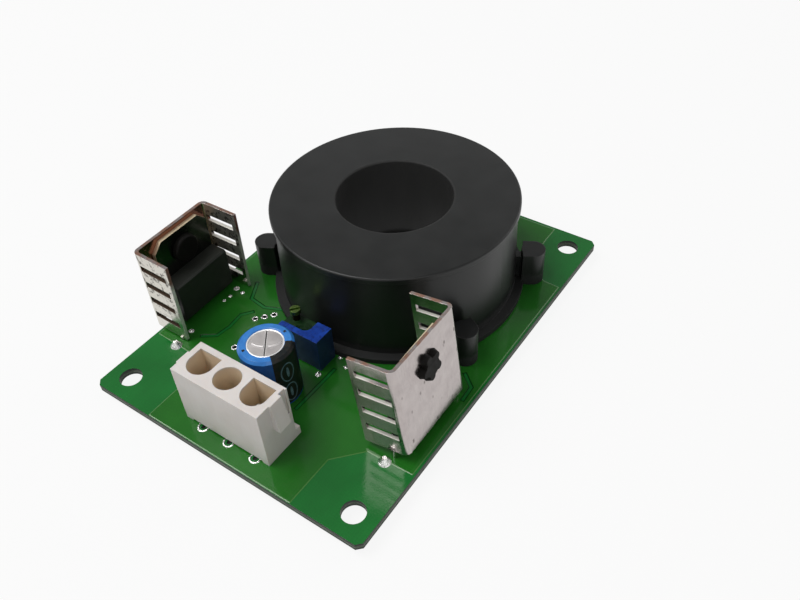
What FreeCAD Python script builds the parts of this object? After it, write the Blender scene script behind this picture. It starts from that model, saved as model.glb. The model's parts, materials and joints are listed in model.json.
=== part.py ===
import FreeCAD, Part
import math
import os
import re
import Sketcher
from FreeCAD import Placement, Rotation, Vector

# Open-board closed-loop Hall effect current sensor, in millimetres.
# X runs along the connector edge, Y from the connector towards the drum, Z up from the board.
# The origin is on the axis of the conductor hole, at the underside of the board.

doc = FreeCAD.newDocument("current_sensor")
sheet = doc.addObject("Spreadsheet::Sheet", "sizes")

SIZES = {
    # circuit board
    "board_side_margin": 5.1,
    "board_front_apron": 30.7,
    "board_back_margin": 4.5,
    "board_thickness": 1.6,
    "board_corner_clip": 1.0,
    "mounting_hole_radius": 2.25,
    "mounting_hole_inset": 4.7,
    "lead_hole_gap": 0.15,
    "lead_tail": 1.3,
    "solder_radius": 1.0,
    "solder_height": 0.8,
    "solder_shoulder": 0.15,
    # clearances and joints shared by pieces that fit together
    "fit_gap": 0.1,
    "running_gap": 0.05,
    "root_overlap": 0.5,
    # plated holes left empty
    "spare_row_left": 14.7,
    "spare_row_front": 29.8,
    "spare_row_step_x": 1.3,
    "spare_row_step_y": 1.5,
    "spare_hole_left": 16.6,
    "spare_hole_front": 21.5,
    "connector_spare_shift": 0.5,
    "connector_spare_front": 3.75,
    # sensor drum
    "drum_height": 20.9,
    "drum_base_radius": 25.1,
    "drum_taper": 0.35,
    "drum_lip_proud": 0.6,
    "drum_lip_height": 1.2,
    "drum_lip_round": 0.35,
    "drum_flange_width": 1.8,
    "drum_flange_height": 1.2,
    "drum_wall": 1.7,
    "drum_roof": 1.8,
    "conductor_hole_radius": 11.9,
    "conductor_hole_round": 0.4,
    "conductor_tube_wall": 1.5,
    "lug_stand_off": 3.4,
    "lug_angle": 28.7,
    "lug_radius": 2.5,
    "lug_straight": 2.2,
    "lug_height": 7.9,
    "lug_rib_width": 1.8,
    "lug_rib_height": 6.4,
    "lug_screw_depth": 6.0,
    "screw_radius": 1.45,
    "screw_head_radius": 2.75,
    "screw_head_height": 1.9,
    "screw_head_round": 0.7,
    "screw_cross_length": 2.8,
    "screw_cross_width": 0.55,
    "screw_cross_depth": 1.0,
    "screw_end_gap": 0.5,
    # ring core, coil, Hall element and resin inside the drum
    "resin_height": 3.4,
    "core_gap": 1.8,
    "coil_layer": 1.5,
    "coil_inner_gap": 0.2,
    "coil_tube_gap": 0.6,
    "coil_wall_gap": 0.55,
    "coil_roof_gap": 3.3,
    "coil_open_angle": 26.0,
    "coil_wire_radius": 0.35,
    "coil_wire_spread": 15.0,
    "hall_width": 4.2,
    "hall_thickness": 1.5,
    "hall_body_height": 3.2,
    "hall_lead_pitch": 1.1,
    "hall_lead_side": 0.4,
    # sheet heat sinks
    "sink_sheet": 0.7,
    "sink_width": 19.2,
    "sink_depth": 9.1,
    "sink_height": 19.4,
    "sink_bend_radius": 0.6,
    "sink_wing_splay": 1.0,
    "sink_slot_height": 1.45,
    "sink_slot_pitch": 4.1,
    "sink_slot_end": 1.0,
    "left_slots_rise": 0.0,
    "right_slots_rise": 0.6,
    "left_hole_offset": 1.1,
    "right_hole_offset": 0.2,
    "left_twist": 0.0,
    "right_twist": -1.9,
    # places of the two riveted pairs of sink and transistor
    "left_leads_inset": 1.5,
    "right_leads_inset": 5.7,
    "left_leads_front": 28.3,
    "right_leads_front": 27.0,
    "left_stand": 0.5,
    "right_stand": 1.7,
    "left_lean": -1.3,
    "right_lean": -7.9,
    "left_turn": 1.0,
    "right_turn": 1.2,
    # power transistors
    "tab_thickness": 0.9,
    "tab_length": 18.4,
    "tab_shoulder": 2.0,
    "tab_hole_radius": 1.85,
    "tab_hole_to_top": 4.8,
    "case_width": 14.0,
    "case_height": 9.4,
    "case_depth": 3.8,
    "case_draft": 0.35,
    "tab_to_leads": 2.8,
    "transistor_lead_pitch": 5.45,
    "transistor_lead_width": 1.2,
    "transistor_lead_thickness": 0.6,
    "lead_bend_drop": 0.3,
    # push rivets
    "rivet_hole_gap": 0.15,
    "rivet_head_radius": 3.0,
    "rivet_head_height": 1.2,
    "rivet_head_round": 0.5,
    "rivet_shank_radius": 1.5,
    "rivet_hub_radius": 1.9,
    "rivet_lobe_radius": 1.15,
    "rivet_lobe_offset": 1.9,
    "rivet_lobe_height": 1.0,
    "rivet_lobe_turn": 39.0,
    # three-way connector
    "connector_centre": 31.4,
    "connector_front": 3.85,
    "connector_length": 20.2,
    "connector_depth": 7.6,
    "connector_height": 13.5,
    "connector_stand": 0.5,
    "connector_stand_width": 1.5,
    "connector_pitch": 6.35,
    "connector_cavity_radius": 2.6,
    "connector_cavity_depth": 10.5,
    "connector_pin_radius": 1.05,
    "connector_pin_top": 7.2,
    "connector_tail_radius": 0.6,
    "connector_foot_depth": 1.1,
    "connector_foot_width": 2.4,
    "connector_foot_height": 2.0,
    "latch_ramp_width": 2.9,
    "latch_ramp_drop": 6.2,
    "latch_ramp_start": 0.3,
    "latch_ramp_proud": 1.5,
    "latch_ramp_shift": 0.6,
    "latch_slot_depth": 0.4,
    "latch_slot_lip": 0.4,
    # electrolytic capacitor
    "capacitor_left": 30.6,
    "capacitor_front": 18.1,
    "capacitor_radius": 5.0,
    "capacitor_height": 12.3,
    "capacitor_rim_round": 0.8,
    "capacitor_groove_height": 2.2,
    "capacitor_groove_radius": 0.45,
    "capacitor_sleeve_gap": 0.05,
    "capacitor_sleeve": 0.2,
    "capacitor_sleeve_lip": 1.3,
    "capacitor_sleeve_bevel": 0.5,
    "capacitor_bung_radius": 4.3,
    "capacitor_bung_height": 1.6,
    "capacitor_lead_radius": 0.3,
    "capacitor_lead_pitch": 5.0,
    "capacitor_score_width": 0.25,
    "capacitor_score_depth": 0.2,
    "capacitor_score_turn": 37.0,
    # upright multi-turn trimmer
    "trimmer_left": 25.9,
    "trimmer_front": 25.9,
    "trimmer_length": 9.5,
    "trimmer_depth": 4.6,
    "trimmer_height": 7.9,
    "trimmer_stand": 0.4,
    "trimmer_rail": 1.2,
    "trimmer_front_wall": 1.3,
    "trimmer_block": 3.3,
    "trimmer_well_round": 1.4,
    "trimmer_seal_drop": 0.5,
    "trimmer_floor": 1.2,
    "trimmer_screw_left": 1.6,
    "trimmer_screw_back": 1.0,
    "trimmer_screw_radius": 0.75,
    "trimmer_screw_proud": 2.5,
    "trimmer_screw_depth": 3.5,
    "trimmer_head_radius": 1.05,
    "trimmer_head_height": 0.9,
    "trimmer_slot_width": 0.5,
    "trimmer_slot_depth": 0.6,
    "trimmer_slot_turn": 50.0,
    "trimmer_lead_radius": 0.25,
    "trimmer_lead_pitch": 2.54,
    # solder seen on top of the board
    "top_joint_radius": 1.25,
    "top_joint_height": 1.1,
    "top_joint_inset": 6.1,
    "top_joint_front": 15.6,
    "plated_hole_radius": 0.45,
}

# Sizes that follow from the ones in the sheet: the board grows with its drum, the core fills the drum
FOLLOWING = {
    "drum_top_radius": "drum_base_radius - drum_taper",
    "drum_lip_radius": "drum_base_radius - drum_taper + drum_lip_proud",
    "drum_flange_radius": "drum_base_radius + drum_flange_width",
    "lug_reach": "drum_base_radius + lug_stand_off",
    "board_width": "2 * (drum_base_radius + drum_flange_width + board_side_margin)",
    "board_front_to_axis": "board_front_apron + drum_base_radius + drum_flange_width",
    "board_length": "board_front_apron + 2 * (drum_base_radius + drum_flange_width) + board_back_margin",
    "core_outer_radius": "drum_base_radius - drum_taper - drum_wall - coil_wall_gap"
                         " - (coil_layer + coil_inner_gap)",
    "core_inner_radius": "conductor_hole_radius + conductor_tube_wall + coil_tube_gap"
                         " + (coil_layer + coil_inner_gap)",
    "core_height": "drum_height - drum_roof - coil_roof_gap - resin_height"
                   " - 2 * (coil_layer + coil_inner_gap)",
}

# How near two coordinates lie when they are the same place
SAME_PLACE = 0.001

for row, (alias, number) in enumerate(SIZES.items(), start=1):
    sheet.set("A%d" % row, alias)
    sheet.set("B%d" % row, str(number))
    sheet.setAlias("B%d" % row, alias)
following = doc.addObject("App::VarSet", "following")


def bound(text):
    """Formula with each size named in it pointed at its cell, or at the set of sizes that follow."""
    def place(word):
        if word[0] in SIZES:
            return "sizes." + word[0]
        return "following." + word[0] if word[0] in FOLLOWING else word[0]
    return re.sub(r"[a-z_]+", place, text)


for alias, formula in FOLLOWING.items():
    following.addProperty("App::PropertyFloat", alias, "Following sizes")
    following.setExpression(alias, bound(formula))
doc.recompute()


def size(alias):
    """Value of one cell of the sheet, or of one size that follows from it."""
    return float(getattr(sheet if alias in SIZES else following, alias))


def bind(item, **formulas):
    """Ties properties of an object to formulas of the sheet."""
    for name, text in formulas.items():
        item.setExpression(name, bound(text))
    return item


def bind_position(item, x, y, z):
    """Ties an object's position to formulas of the sheet."""
    for axis, text in zip("xyz", (x, y, z)):
        item.setExpression("Placement.Base." + axis, bound(text))
    return item


# Places on the board, measured from its front left corner
def from_left(text):
    return "(%s) - board_width / 2" % text


def from_right(text):
    return "board_width / 2 - (%s)" % text


def from_front(text):
    return "(%s) - board_front_to_axis" % text


def box(name, corner, extents):
    """Block given by its low corner and its extents."""
    block = doc.addObject("Part::Box", name)
    bind(block, Length=extents[0], Width=extents[1], Height=extents[2])
    return bind_position(block, *corner)


def rod(name, start, radius, length, direction=Vector(0, 0, 1)):
    """Cylinder from a start point along a direction."""
    cylinder = doc.addObject("Part::Cylinder", name)
    cylinder.Placement.Rotation = Rotation(Vector(0, 0, 1), direction)
    bind(cylinder, Radius=radius, Height=length)
    return bind_position(cylinder, *start)


def cone(name, start, low_radius, high_radius, length, direction=Vector(0, 0, 1)):
    """Cone from its low end along a direction."""
    frustum = doc.addObject("Part::Cone", name)
    frustum.Placement.Rotation = Rotation(Vector(0, 0, 1), direction)
    bind(frustum, Radius1=low_radius, Radius2=high_radius, Height=length)
    return bind_position(frustum, *start)


def join(name, pieces):
    """One solid, or one set of tools, out of several pieces."""
    union = doc.addObject("Part::MultiFuse", name)
    union.Shapes = pieces
    union.Refine = True
    return union


def cut(name, base, tools):
    """The base with every tool taken away."""
    result = doc.addObject("Part::Cut", name)
    result.Base = base
    result.Tool = tools[0] if len(tools) == 1 else join(name + "_tools", tools)
    result.Refine = True
    return result


def group(name, pieces):
    """Separate solids kept together under one name."""
    compound = doc.addObject("Part::Compound", name)
    compound.Links = pieces
    return compound


def rounded(name, base, radius, chosen):
    """The base with a round on each edge that the test picks."""
    doc.recompute()
    fillet = doc.addObject("Part::Fillet", name)
    fillet.Base = base
    edges = enumerate(base.Shape.Edges, start=1)
    fillet.Edges = [(number, radius, radius) for number, edge in edges if chosen(edge)]
    return fillet


def origin_plane(body, role):
    """One of a body's own origin planes."""
    return next(feature for feature in body.Origin.OriginFeatures if feature.Role == role)


def outline(body, name, role, corners, offset="0"):
    """Closed sketch whose corners are tied to formulas of the sheet."""
    sketch = body.newObject("Sketcher::SketchObject", name)
    sketch.AttachmentSupport = [(origin_plane(body, role), "")]
    sketch.MapMode = "FlatFace"
    sketch.setExpression("AttachmentOffset.Base.z", bound(offset))
    count = len(corners)
    turn = 2 * math.pi / count
    reach = size("drum_base_radius")
    start = [Vector(math.cos(turn * i), math.sin(turn * i), 0) * reach for i in range(count)]
    for i in range(count):
        sketch.addGeometry(Part.LineSegment(start[i], start[(i + 1) % count]), False)
    for i in range(count):
        sketch.addConstraint(Sketcher.Constraint("Coincident", i, 2, (i + 1) % count, 1))
    for i, corner in enumerate(corners):
        for kind, text in zip(("DistanceX", "DistanceY"), corner):
            place = start[i].x if kind == "DistanceX" else start[i].y
            number = sketch.addConstraint(Sketcher.Constraint(kind, -1, 1, i, 1, place))
            label = "corner_%d_%s" % (i, kind[-1].lower())
            sketch.renameConstraint(number, label)
            sketch.setExpression("Constraints." + label, bound(text))
    return sketch


def padded_body(label, role, corners, length, both_ways=False, offset="0"):
    """Body made by pushing an outline along its normal, from its plane or an offset from it."""
    body = doc.addObject("PartDesign::Body", label)
    sketch = outline(body, label + "_outline", role, corners, offset)
    pad = body.newObject("PartDesign::Pad", label + "_pad")
    pad.Profile = sketch
    pad.Midplane = both_ways
    bind(pad, Length=length)
    sketch.Visibility = False
    return body


def turned_body(label, corners):
    """Body made by turning an outline, drawn as radius and height, about Z."""
    body = doc.addObject("PartDesign::Body", label)
    sketch = outline(body, label + "_profile", "XZ_Plane", corners)
    turned = body.newObject("PartDesign::Revolution", label + "_turned")
    turned.Profile = sketch
    turned.ReferenceAxis = (sketch, ["V_Axis"])
    turned.Angle = 360
    return body


nodes = {}


def node(name, item, placement=None):
    """Names a finished sub-part and, where it has one, gives it its own placement."""
    item.Label = name
    if placement is not None:
        item.Placement = placement
    nodes[name] = item
    return item


# Legs that pass through the board: name, x, y and radius of the round hole each one needs
def connector_pin_places():
    row = from_front("connector_front + connector_depth / 2")
    return [(from_left("connector_centre + %d * connector_pitch" % step), row) for step in (-1, 0, 1)]


def capacitor_lead_places():
    row = from_front("capacitor_front")
    return [(from_left("capacitor_left + %s * capacitor_lead_pitch / 2" % side), row) for side in (-1, 1)]


def trimmer_lead_places():
    centre = "trimmer_left + trimmer_length / 2"
    row = from_front("trimmer_front + trimmer_depth / 2")
    return [(from_left("%s + %d * trimmer_lead_pitch" % (centre, step)), row) for step in (-1, 0, 1)]


def transistor_lead_places():
    places = []
    for side, from_edge in (("left", from_left), ("right", from_right)):
        x = from_edge("{0}_leads_inset + sin({0}_lean) * lead_bend_drop".format(side))
        y = from_front(side + "_leads_front")
        for step in (-1, 0, 1):
            shift = "%d * transistor_lead_pitch" % step
            places.append(("%s - %s * sin(%s_turn)" % (x, shift, side),
                           "%s + %s * cos(%s_turn)" % (y, shift, side)))
    return places


def hall_lead_places():
    middle = "-(core_inner_radius + core_outer_radius) / 2"
    return [("0", "%s + %s * hall_lead_pitch" % (middle, step)) for step in (-1.5, -0.5, 0.5, 1.5)]


def coil_wire_places():
    ring = "(core_inner_radius + core_outer_radius) / 2"
    return [("%d * %s * sin(coil_wire_spread)" % (side, ring), "-%s * cos(coil_wire_spread)" % ring)
            for side in (-1, 1)]


LUG_SIGNS = ((-1, -1), (-1, 1), (1, -1), (1, 1))


def lug_places():
    return [("%d * lug_reach * cos(lug_angle)" % sign_x, "%d * lug_reach * sin(lug_angle)" % sign_y)
            for sign_x, sign_y in LUG_SIGNS]


FLAT_LEG_RADIUS = "sqrt(transistor_lead_width^2 + transistor_lead_thickness^2) / 2"
HALL_LEG_RADIUS = "hall_lead_side * sqrt(2) / 2"

LEGS = (
    ("connector", connector_pin_places(), "connector_tail_radius"),
    ("capacitor", capacitor_lead_places(), "capacitor_lead_radius"),
    ("trimmer", trimmer_lead_places(), "trimmer_lead_radius"),
    ("transistor", transistor_lead_places(), FLAT_LEG_RADIUS),
    ("hall", hall_lead_places(), HALL_LEG_RADIUS),
    ("coil", coil_wire_places(), "coil_wire_radius"),
)


def spare_holes():
    """Plated holes left empty, measured from the front left corner."""
    row = [("spare_row_left + %d * spare_row_step_x" % step, "spare_row_front + %d * spare_row_step_y" % step)
           for step in (0, 1, 2)]
    under_connector = [("connector_centre + connector_spare_shift + %d * connector_pitch" % step,
                        "connector_spare_front") for step in (-1, 0, 1)]
    return row + under_connector + [("spare_hole_left", "spare_hole_front")]


def circuit_board():
    """Board with clipped corners, the conductor hole and every hole for screws and legs."""
    left, right = "-board_width / 2", "board_width / 2"
    front, back = "-board_front_to_axis", "board_length - board_front_to_axis"
    clip = "board_corner_clip"
    corners = [
        (left + " + " + clip, front),
        (right + " - " + clip, front),
        (right, front + " + " + clip),
        (right, back + " - " + clip),
        (right + " - " + clip, back),
        (left + " + " + clip, back),
        (left, back + " - " + clip),
        (left, front + " + " + clip),
    ]
    blank = padded_body("board_blank", "XY_Plane", corners, "board_thickness")
    through = "board_thickness + 2"
    tube = "conductor_hole_radius + conductor_tube_wall + fit_gap"
    holes = [rod("conductor_clearance", ("0", "0", "-1"), tube, through)]
    for x in (from_left("mounting_hole_inset"), from_right("mounting_hole_inset")):
        for y in ("mounting_hole_inset", "board_length - mounting_hole_inset"):
            holes.append(rod("mounting_hole", (x, from_front(y), "-1"), "mounting_hole_radius", through))
    for x, y in lug_places():
        holes.append(rod("lug_screw_hole", (x, y, "-1"), "screw_radius + fit_gap", through))
    for name, places, radius in LEGS:
        for x, y in places:
            holes.append(rod(name + "_hole", (x, y, "-1"), radius + " + lead_hole_gap", through))
    for x, y in spare_holes():
        holes.append(rod("plated_hole", (from_left(x), from_front(y), "-1"), "plated_hole_radius", through))
    node("circuit_board", cut("drilled_board", blank, holes))


def lug(sign_x, sign_y):
    """Fixing lug with a rounded outer end, joined to the drum by a rib."""
    post = rod("lug_end", ("lug_reach", "0", "board_thickness"), "lug_radius", "lug_height")
    block = box(
        "lug_block",
        ("lug_reach - lug_straight", "-lug_radius", "board_thickness"),
        ("lug_straight", "2 * lug_radius", "lug_height"),
    )
    rib = box(
        "lug_rib",
        ("drum_base_radius - drum_wall / 2", "-lug_rib_width / 2", "board_thickness"),
        ("lug_stand_off + drum_wall / 2", "lug_rib_width", "lug_rib_height"),
    )
    pilot = rod("lug_pilot", ("lug_reach", "0", "board_thickness - 1"), "screw_radius + fit_gap",
                "lug_screw_depth + 1")
    finished = cut("lug", join("lug_solid", [post, block, rib]), [pilot])
    angle = size("lug_angle") if sign_x > 0 else 180 - size("lug_angle")
    finished.Placement = Placement(Vector(), Rotation(Vector(0, 0, 1), sign_y * angle))
    return finished


def sensor_housing():
    """Moulded drum: lipped roof, drafted wall and flange, four lugs, and a tube down through the board."""
    base, top = "board_thickness", "board_thickness + drum_height"
    ceiling = top + " - drum_roof"
    under_lip = top + " - drum_lip_height"
    tube = "conductor_hole_radius + conductor_tube_wall"
    flange_top = base + " + drum_flange_height"
    profile = [
        ("conductor_hole_radius", "0"),
        (tube, "0"),
        (tube, ceiling),
        ("drum_top_radius - drum_wall", ceiling),
        ("drum_base_radius - drum_wall", base),
        ("drum_flange_radius", base),
        ("drum_flange_radius", flange_top),
        ("drum_base_radius", flange_top),
        ("drum_top_radius", under_lip),
        ("drum_lip_radius", under_lip),
        ("drum_lip_radius", top),
        ("conductor_hole_radius", top),
    ]
    drum = turned_body("drum", profile)
    top_height = size("board_thickness") + size("drum_height")

    def top_edge(radius):
        return lambda edge: (
            isinstance(edge.Curve, Part.Circle)
            and abs(edge.Curve.Center.z - top_height) < SAME_PLACE
            and abs(edge.Curve.Radius - size(radius)) < SAME_PLACE
        )

    lipped = rounded("drum_lip_rounded", drum, size("drum_lip_round"), top_edge("drum_lip_radius"))
    mouth = rounded("drum_mouth_rounded", lipped, size("conductor_hole_round"),
                    top_edge("conductor_hole_radius"))
    lugs = [lug(*signs) for signs in LUG_SIGNS]
    node("sensor_housing", join("lugged_drum", [mouth] + lugs))


def housing_screws():
    """Four pan-head screws driven up through the board into the lugs."""
    screws = []
    for x, y in lug_places():
        length = "board_thickness + lug_screw_depth - screw_end_gap"
        shank = rod("screw_shank", (x, y, "0"), "screw_radius", length)
        head = rod("screw_head", (x, y, "-screw_head_height"), "screw_head_radius", "screw_head_height")
        low = -size("screw_head_height")
        domed = rounded("screw_head_domed", head, size("screw_head_round"),
                        lambda edge: edge.BoundBox.ZMax < low + SAME_PLACE)
        half = "screw_cross_length / 2"
        width = "screw_cross_width"
        bars = [
            box("cross_x", (x + " - " + half, "%s - %s / 2" % (y, width), "-screw_head_height - 1"),
                ("screw_cross_length", width, "screw_cross_depth + 1")),
            box("cross_y", ("%s - %s / 2" % (x, width), y + " - " + half, "-screw_head_height - 1"),
                (width, "screw_cross_length", "screw_cross_depth + 1")),
        ]
        screws.append(cut("housing_screw", join("screw_solid", [shank, domed]), bars))
    node("housing_screws", group("screw_set", screws))


def magnetic_core():
    """Ring core with one air gap, on the side nearest the electronics."""
    low = "board_thickness + resin_height + coil_layer + coil_inner_gap"
    inner, outer = "core_inner_radius", "core_outer_radius"
    high = low + " + core_height"
    ring = turned_body("core_ring", [(inner, low), (outer, low), (outer, high), (inner, high)])
    slit = box("core_slit", ("-core_gap / 2", "-core_outer_radius - 1", low + " - 1"),
               ("core_gap", "core_outer_radius - core_inner_radius + 2", "core_height + 2"))
    node("magnetic_core", cut("gapped_core", ring, [slit]))


def secondary_winding():
    """Coil wound round the core, stopping short of the air gap."""
    low = "board_thickness + resin_height"
    high = low + " + core_height + 2 * (coil_layer + coil_inner_gap)"
    inner = "core_inner_radius - coil_inner_gap"
    outer = "core_outer_radius + coil_inner_gap"
    shell = turned_body("coil_shell", [
        (inner + " - coil_layer", low),
        (outer + " + coil_layer", low),
        (outer + " + coil_layer", high),
        (inner + " - coil_layer", high),
    ])
    hollow = turned_body("coil_hollow", [
        (inner, low + " + coil_layer"),
        (outer, low + " + coil_layer"),
        (outer, high + " - coil_layer"),
        (inner, high + " - coil_layer"),
    ])
    reach = "(core_outer_radius + coil_layer + 2)"
    half = reach + " * tan(coil_open_angle / 2)"
    wedge = padded_body("coil_opening", "XY_Plane",
                        [("0", "0"), ("-" + half, "-" + reach), (half, "-" + reach)],
                        "board_thickness + drum_height")
    node("secondary_winding", cut("wound_coil", shell, [hollow, wedge]))


def coil_wires():
    """The coil's two ends, brought down through the resin and the board."""
    top = "board_thickness + resin_height"
    wires = [rod("coil_wire", (x, y, "-lead_tail"), "coil_wire_radius", top + " + lead_tail")
             for x, y in coil_wire_places()]
    node("winding_wires", group("wire_pair", wires))


def hall_element():
    """Hall element in the core's air gap, on four legs."""
    middle = "-(core_inner_radius + core_outer_radius) / 2"
    core_low = "board_thickness + resin_height + coil_layer + coil_inner_gap"
    base = core_low + " + (core_height - hall_body_height) / 2"
    body = box("hall_block", ("-hall_thickness / 2", middle + " - hall_width / 2", base),
               ("hall_thickness", "hall_width", "hall_body_height"))
    node("hall_element", body)
    side = "hall_lead_side"
    legs = [box("hall_leg", (x + " - hall_lead_side / 2", y + " - hall_lead_side / 2", "-lead_tail"),
                (side, side, base + " + lead_tail")) for x, y in hall_lead_places()]
    node("hall_element_leads", group("hall_legs", legs))


def potting_resin():
    """Resin cast into the drum's open base, with the legs passing through it."""
    base, top = "board_thickness", "board_thickness + resin_height"
    tube = "conductor_hole_radius + conductor_tube_wall + fit_gap"
    lean = "(drum_base_radius - drum_top_radius) * resin_height / (drum_height - drum_lip_height)"
    wall = "drum_base_radius - drum_wall - fit_gap"
    ring = turned_body("resin_ring", [
        (tube, base),
        (wall, base),
        ("%s - %s" % (wall, lean), top),
        (tube, top),
    ])
    holes = []
    for places, radius in ((hall_lead_places(), HALL_LEG_RADIUS), (coil_wire_places(), "coil_wire_radius")):
        for x, y in places:
            holes.append(rod("resin_passage", (x, y, base + " - 1"), radius + " + fit_gap",
                             "resin_height + 2"))
    node("potting_resin", cut("drilled_resin", ring, holes))


def foot_place(side):
    """Where a transistor's legs leave it: above the board, turned to face its edge."""
    sign, facing = (1, 0) if side == "right" else (-1, 180)
    x = sign * (size("board_width") / 2 - size(side + "_leads_inset"))
    y = size(side + "_leads_front") - size("board_front_to_axis")
    z = size("board_thickness") + size(side + "_stand")
    return Placement(Vector(x, y, z), Rotation(Vector(0, 0, 1), facing + size(side + "_turn")))


def lean_of(side):
    """How a transistor and its sink lean from the upright."""
    return Rotation(Vector(0, 1, 0), size(side + "_lean"))


def leaning_place(side):
    """Frame of a transistor and its sink: legs at the origin, sink towards +X, Z up the tab."""
    return foot_place(side).multiply(Placement(Vector(), lean_of(side)))


HOLE_HEIGHT = "tab_length - tab_hole_to_top"


def heat_sink(side, place):
    """Folded sheet: a plate, two slotted wings and the rivet hole."""
    outer = "tab_to_leads + sink_sheet"
    half, end = "sink_width / 2", outer + " - sink_depth"
    splay = "sink_depth * tan(sink_wing_splay)"
    skin = "sink_sheet / cos(sink_wing_splay)"
    inner_corner = half + " + sink_sheet * tan(sink_wing_splay) - " + skin
    middle = side + "_hole_offset"
    corners = [
        (outer, "%s - (%s)" % (middle, half)),
        (outer, "%s + %s" % (middle, half)),
        (end, "%s + %s + %s" % (middle, half, splay)),
        (end, "%s + %s + %s - %s" % (middle, half, splay, skin)),
        ("tab_to_leads", "%s + %s" % (middle, inner_corner)),
        ("tab_to_leads", "%s - (%s)" % (middle, inner_corner)),
        (end, "%s - (%s + %s - %s)" % (middle, half, splay, skin)),
        (end, "%s - (%s + %s)" % (middle, half, splay)),
    ]
    folded = padded_body("sink_%s_fold" % side, "XY_Plane", corners, "sink_height")
    outer_x, inner_x = size("tab_to_leads") + size("sink_sheet"), size("tab_to_leads")

    def bend(x_place):
        return lambda edge: (
            edge.BoundBox.ZLength > size("sink_height") - 0.01
            and edge.BoundBox.XLength < 0.01
            and abs(edge.BoundBox.XMin - x_place) < 0.01
        )

    outside = size("sink_bend_radius") + size("sink_sheet")
    bent = rounded("sink_%s_outer_bend" % side, folded, outside, bend(outer_x))
    bent = rounded("sink_%s_inner_bend" % side, bent, size("sink_bend_radius"), bend(inner_x))
    slots = []
    lowest = "sink_height / 2 + %s_slots_rise - 1.5 * sink_slot_pitch - sink_slot_height / 2" % side
    for step in range(4):
        height = "%s + %d * sink_slot_pitch" % (lowest, step)
        slots.append(box("sink_slot", (end + " + sink_slot_end", "-sink_width", height),
                         ("sink_depth - sink_slot_end - sink_sheet - sink_bend_radius", "2 * sink_width",
                          "sink_slot_height")))
    hole = rod("sink_rivet_hole", ("0", "0", HOLE_HEIGHT), "rivet_shank_radius + rivet_hole_gap",
               "2 * tab_to_leads", Vector(1, 0, 0))
    sheet_part = cut("sink_%s_pierced" % side, bent, slots + [hole])
    pivot = Vector(0, 0, size("tab_length") - size("tab_hole_to_top"))
    twist = Placement(Vector(), Rotation(Vector(1, 0, 0), size(side + "_twist")), pivot)
    node("heat_sink_" + side, sheet_part, place.multiply(twist))


def transistor(side, place):
    """Power transistor: shouldered metal tab, moulded case and three legs."""
    front = "tab_to_leads - tab_thickness"
    half, shoulder = "case_width / 2", "tab_shoulder"
    corners = [
        ("-(%s)" % half, "0"),
        (half, "0"),
        (half, "tab_length - " + shoulder),
        ("%s - %s" % (half, shoulder), "tab_length"),
        ("%s - (%s)" % (shoulder, half), "tab_length"),
        ("-(%s)" % half, "tab_length - " + shoulder),
    ]
    plate = padded_body("tab_%s_plate" % side, "YZ_Plane", corners, "tab_thickness", offset=front)
    hole = rod("tab_hole", ("0", "0", HOLE_HEIGHT), "tab_hole_radius", "2 * tab_to_leads", Vector(1, 0, 0))
    node("transistor_%s_tab" % side, cut("tab_" + side, plate, [hole]), place)

    case_front, inset = front + " - case_depth", "case_draft"
    profile = [
        (front, "0"),
        (case_front + " + " + inset, "0"),
        (case_front, inset),
        (case_front, "case_height - " + inset),
        (case_front + " + " + inset, "case_height"),
        (front, "case_height"),
    ]
    case = padded_body("transistor_%s_case" % side, "XZ_Plane", profile, "case_width", both_ways=True)
    node("transistor_%s_body" % side, case, place)

    foot = foot_place(side)
    bend = lean_of(side).multVec(Vector(0, 0, -size("lead_bend_drop")))
    tail = Vector(bend.x, 0, -size(side + "_stand") - size("board_thickness") - size("lead_tail"))
    legs = []
    for step in (-1, 0, 1):
        leg = doc.addObject("Part::Feature", "transistor_leg")
        leg.Shape = flat_leg([Vector(), bend, tail], size("transistor_lead_thickness"),
                             size("transistor_lead_width"))
        along_row = Placement(Vector(0, step * size("transistor_lead_pitch"), 0), Rotation())
        leg.Placement = foot.multiply(along_row)
        legs.append(leg)
    node("transistor_%s_leads" % side, group("legs_" + side, legs))


def flat_leg(path, thickness, width):
    """Flat strip that follows a bent path in a plane of constant Y."""
    sides = []
    for i, point in enumerate(path):
        before = (point - path[i - 1]).normalize() if i > 0 else None
        after = (path[i + 1] - point).normalize() if i + 1 < len(path) else None
        heading = before or after
        if before and after:
            heading = (before + after).normalize()
        across = Vector(heading.z, 0, -heading.x)
        stretch = 1.0 if before is None or after is None else 1.0 / heading.dot(before)
        sides.append(across * (thickness / 2 * stretch))
    rim = [point + side for point, side in zip(path, sides)]
    rim += [point - side for point, side in reversed(list(zip(path, sides)))]
    lowered = [point - Vector(0, width / 2, 0) for point in rim]
    face = Part.Face(Part.makePolygon(lowered + lowered[:1]))
    return face.extrude(Vector(0, width, 0))


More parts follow.
